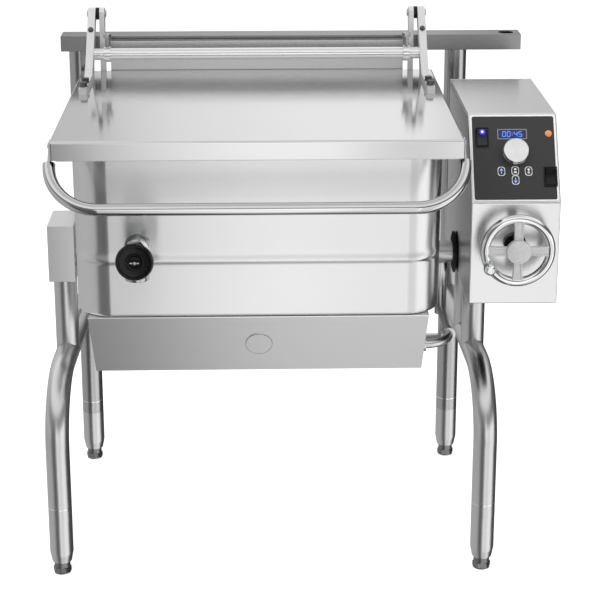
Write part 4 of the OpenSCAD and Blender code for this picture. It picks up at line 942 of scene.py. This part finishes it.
def makeValve():
    low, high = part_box("valve_body")
    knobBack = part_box("valve_knob")[1].y
    x, z = (low.x + high.x) / 2, jointOf["valve_knob_turn"]["pos_m"][2]
    wall = low.y + valveShape["wall"] * mm
    outward = axisPlace((x, wall, z), (0, -1, 0))
    downward = axisPlace((x, wall - valveShape["outletOut"] * mm, z), (0, 0, -1), (0, 1, 0))
    bm = turned(valveShape["body"], outward)
    outlet = turned(valveShape["outlet"], downward, sides=56)
    for solid in (bm, outlet):
        bmesh.ops.recalc_face_normals(solid, faces=solid.faces)
    spare = bpy.data.meshes.new("outlet")
    outlet.to_mesh(spare)
    outlet.free()
    bm.from_mesh(spare)
    newPiece("valve_body_skin", bm, "valve_steel", bodyOf["valve_body"], ["valve_body"])
    bonnet = hexHeads("valve_bonnet", valveShape["bonnet"], "chrome_plate")
    bonnet.data.transform(outward @ Matrix.Translation((0, 0, valveShape["bonnetPlace"] * mm))
                          @ Matrix.Rotation(math.radians(valveShape["bonnetTurn"]), 4, "Z"))
    finishPiece(bonnet, "chrome_plate", bodyOf["valve_body"])
    face = axisPlace((x, knobBack, z), (0, -1, 0))
    body = bodyOf["valve_knob"]
    bm = turned(valveShape["knob"], face, sides=96)
    newPiece("valve_knob_skin", bm, "black_phenolic", body, ["valve_knob"])
    bm = turned(valveShape["pin"], face, sides=24)
    wing = valveShape["wing"]
    for side in (-1, 1):
        roundPlate(bm, face, (side * wing["out"], 0), wing["size"], wing["corner"], wing["from"], wing["to"], 3)
    newPiece("valve_knob_screw", bm, "fastener_steel", body)


makeValve()
print("valve done")


# Stage: white floor, soft light, and a studio of grey bands that only reflections see

cameraSet = {"place": (-0.0770, -3.5673, 1.8214), "down": 16.61, "turn": 1.41, "lens": 102.8, "shift": -0.15,
             "sensor": 36, "far": 50}


def makeCamera():
    data = bpy.data.cameras.new("camera")
    data.lens = cameraSet["lens"]
    data.sensor_width = cameraSet["sensor"]
    data.shift_y = cameraSet["shift"]
    data.clip_end = cameraSet["far"]
    camera = linked("camera", data)
    camera.location = cameraSet["place"]
    camera.rotation_euler = (math.radians(90 - cameraSet["down"]), 0, math.radians(-cameraSet["turn"]))
    bpy.context.scene.camera = camera


# How light the studio is as polished steel sees it, by the direction in degrees from the front, left is
# negative: lowBands for what comes from below the horizon, highBands from just above it, topBands from
# higher. Still higher the studio is white, dimmer overhead, and the camera sees white everywhere.
lowBands = [(-180, 0.24), (-150, 0.46), (-90, 0.48), (-60, 0.46), (-50, 0.38), (-42, 0.13), (-9.5, 0.11),
            (-8, 0.34), (-6.8, 0.42), (-6, 0.62), (-5, 0.82), (-3.4, 0.98), (-1, 1.16), (2, 1.22), (4, 1.04),
            (5.6, 0.8), (7, 0.96), (8.5, 1.22), (11, 1.16), (14, 0.84), (34, 0.84), (46, 1.12), (74, 1.12),
            (84, 0.3), (94, 0.06), (150, 0.06), (180, 0.24)]
leftBands = [(-180, 0.96), (-176, 0.84), (-173, 0.62), (-150, 0.70), (-115, 0.55), (-80, 0.35)]
rightBands = [(80, 0.14), (110, 0.12), (135, 0.4), (160, 0.58), (171.0, 0.62), (174, 0.98), (176, 1.0),
              (180, 0.96)]
highBands = [*leftBands, (-40, 0.22), (-12, 0.24), (-8.5, 0.95), (5.0, 0.95), (6.4, 0.24), (40, 0.22),
             *rightBands]
topBands = [*leftBands, (-40, 0.2), (40, 0.2), *rightBands]
# share of the low bands by the height of the direction in degrees
lowFall = [(-90, 0.2), (-76, 0.4), (-60, 0.62), (-46, 0.95), (-36, 1.1), (-26, 1.12), (-17, 0.95), (-6, 1.16),
           (4, 1.36), (12, 1.36)]
# degrees of height over which each part of the studio takes over from the one below, the top of each curve, and
# the levels of the parts without one
heights = {"high": (5, 9.5), "top": (18.5, 20), "white": (27, 33), "dim": (60, 76)}
curveTops = {"low": 1.35, "fall": 1.4, "high": 1.0, "top": 1.0}
studio = {"white": 1.0, "zenith": 0.66, "soft": 0.55}


# Points of angle and level as a float curve from 0 to 1 both ways
def fillCurve(mapping, spots, most):
    first, last = spots[0][0], spots[-1][0]
    spots = [((at - first) / (last - first), level / most) for at, level in spots]
    curve = mapping.curves[0]
    curve.points[0].location = spots[0]
    curve.points[-1].location = spots[-1]
    for spot in spots[1:-1]:
        curve.points.new(*spot)
    for point in curve.points:
        point.handle_type = "AUTO_CLAMPED"
    mapping.update()


def makeWorld():
    world = bpy.data.worlds.new("studio")
    world.use_nodes = True
    tree = world.node_tree
    tree.nodes.clear()
    aim = addNode(tree, "ShaderNodeTexCoord").outputs["Generated"]
    parts = addNode(tree, "ShaderNodeSeparateXYZ", {0: aim}).outputs
    ahead = addNode(tree, "ShaderNodeMath", {0: parts["Y"], 1: -1.0}, operation="MULTIPLY")
    angle = addNode(tree, "ShaderNodeMath", {0: parts["X"], 1: ahead}, operation="ARCTAN2")
    rise = addNode(tree, "ShaderNodeMath", {0: parts["Z"]}, operation="ARCSINE")
    above = {"white": studio["white"], "dim": studio["zenith"]}
    for name, spots in (("low", lowBands), ("fall", lowFall), ("high", highBands), ("top", topBands)):
        share = addNode(tree, "ShaderNodeMapRange", {"From Min": math.radians(spots[0][0]),
                        "From Max": math.radians(spots[-1][0]), "Value": rise if name == "fall" else angle})
        curve = addNode(tree, "ShaderNodeFloatCurve", {"Factor": 1.0, "Value": share})
        fillCurve(curve.mapping, spots, curveTops[name])
        above[name] = curve
    level = addNode(tree, "ShaderNodeMath", {0: above["low"], 1: above["fall"]}, operation="MULTIPLY")
    level = addNode(tree, "ShaderNodeMath", {0: level, 1: curveTops["low"] * curveTops["fall"]},
                    operation="MULTIPLY")
    for name, (start, end) in heights.items():
        share = addNode(tree, "ShaderNodeMapRange", {"From Min": math.radians(start),
                        "From Max": math.radians(end), "Value": rise})
        level = addNode(tree, "ShaderNodeMix", {"Factor": share, "A": level, "B": above[name]})
    path = addNode(tree, "ShaderNodeLightPath").outputs
    level = addNode(tree, "ShaderNodeMix", {"Factor": path["Is Glossy Ray"], "A": studio["soft"], "B": level})
    seen = addNode(tree, "ShaderNodeMath", {0: path["Is Camera Ray"], 1: path["Is Transmission Ray"]},
                   operation="MAXIMUM")
    level = addNode(tree, "ShaderNodeMix", {"Factor": seen, "A": level, "B": studio["white"]})
    sky = addNode(tree, "ShaderNodeBackground", {"Color": (1, 1, 1, 1), "Strength": level})
    addNode(tree, "ShaderNodeOutputWorld", {"Surface": sky})
    bpy.context.scene.world = world


floorShape = {"reach": 14, "paint": "#f4f4f4", "seen": 0.6}


def makeFloor():
    material, tree = newMaterial("floor_white")
    path = addNode(tree, "ShaderNodeLightPath").outputs
    seen = addNode(tree, "ShaderNodeMath", {0: path["Is Camera Ray"], 1: path["Is Glossy Ray"]},
                   operation="MAXIMUM")
    seen = addNode(tree, "ShaderNodeMath", {0: seen, 1: path["Is Transmission Ray"]}, operation="MAXIMUM")
    level = addNode(tree, "ShaderNodeMath", {0: seen, 1: floorShape["seen"]}, operation="MULTIPLY")
    paint = addNode(tree, "ShaderNodeBsdfDiffuse", {"Color": hexColour(floorShape["paint"])})
    glow = addNode(tree, "ShaderNodeEmission", {"Color": (1, 1, 1, 1), "Strength": level})
    both = addNode(tree, "ShaderNodeAddShader", {0: paint, 1: glow})
    addNode(tree, "ShaderNodeOutputMaterial", {"Surface": both})
    far = floorShape["reach"]
    mesh = bpy.data.meshes.new("floor")
    mesh.from_pydata([(x, y, 0) for x, y in rectangle(-far, -far, far, far)], [], [(0, 1, 2, 3)])
    mesh.materials.append(material)
    floor = linked("floor", mesh)
    floor.visible_glossy = False  # steel sees the studio's own low light, not the floor


lamps = {  # place, size in metres and power of the soft boxes
    "keyBox": ((-1.6, -2.2, 2.9), 1.8, 42), "fillBox": ((2.0, -1.6, 2.2), 1.6, 20),
    "topBox": ((0.0, 0.3, 3.2), 2.0, 26),
}
lampAim = Vector((0, 0, 0.6))


def makeLamps():
    for name, (place, size, power) in lamps.items():
        data = bpy.data.lights.new(name, "AREA")
        data.shape = "SQUARE"
        data.size = size
        data.energy = power
        lamp = linked(name, data)
        lamp.location = place
        lamp.rotation_euler = (lampAim - Vector(place)).to_track_quat("-Z", "Y").to_euler()
        lamp.visible_glossy = False  # the steel mirrors the bands and the white room, not the lamps


makeCamera()
makeWorld()
makeFloor()
makeLamps()
bpy.context.scene.view_settings.view_transform = "Standard"
print("stage done")
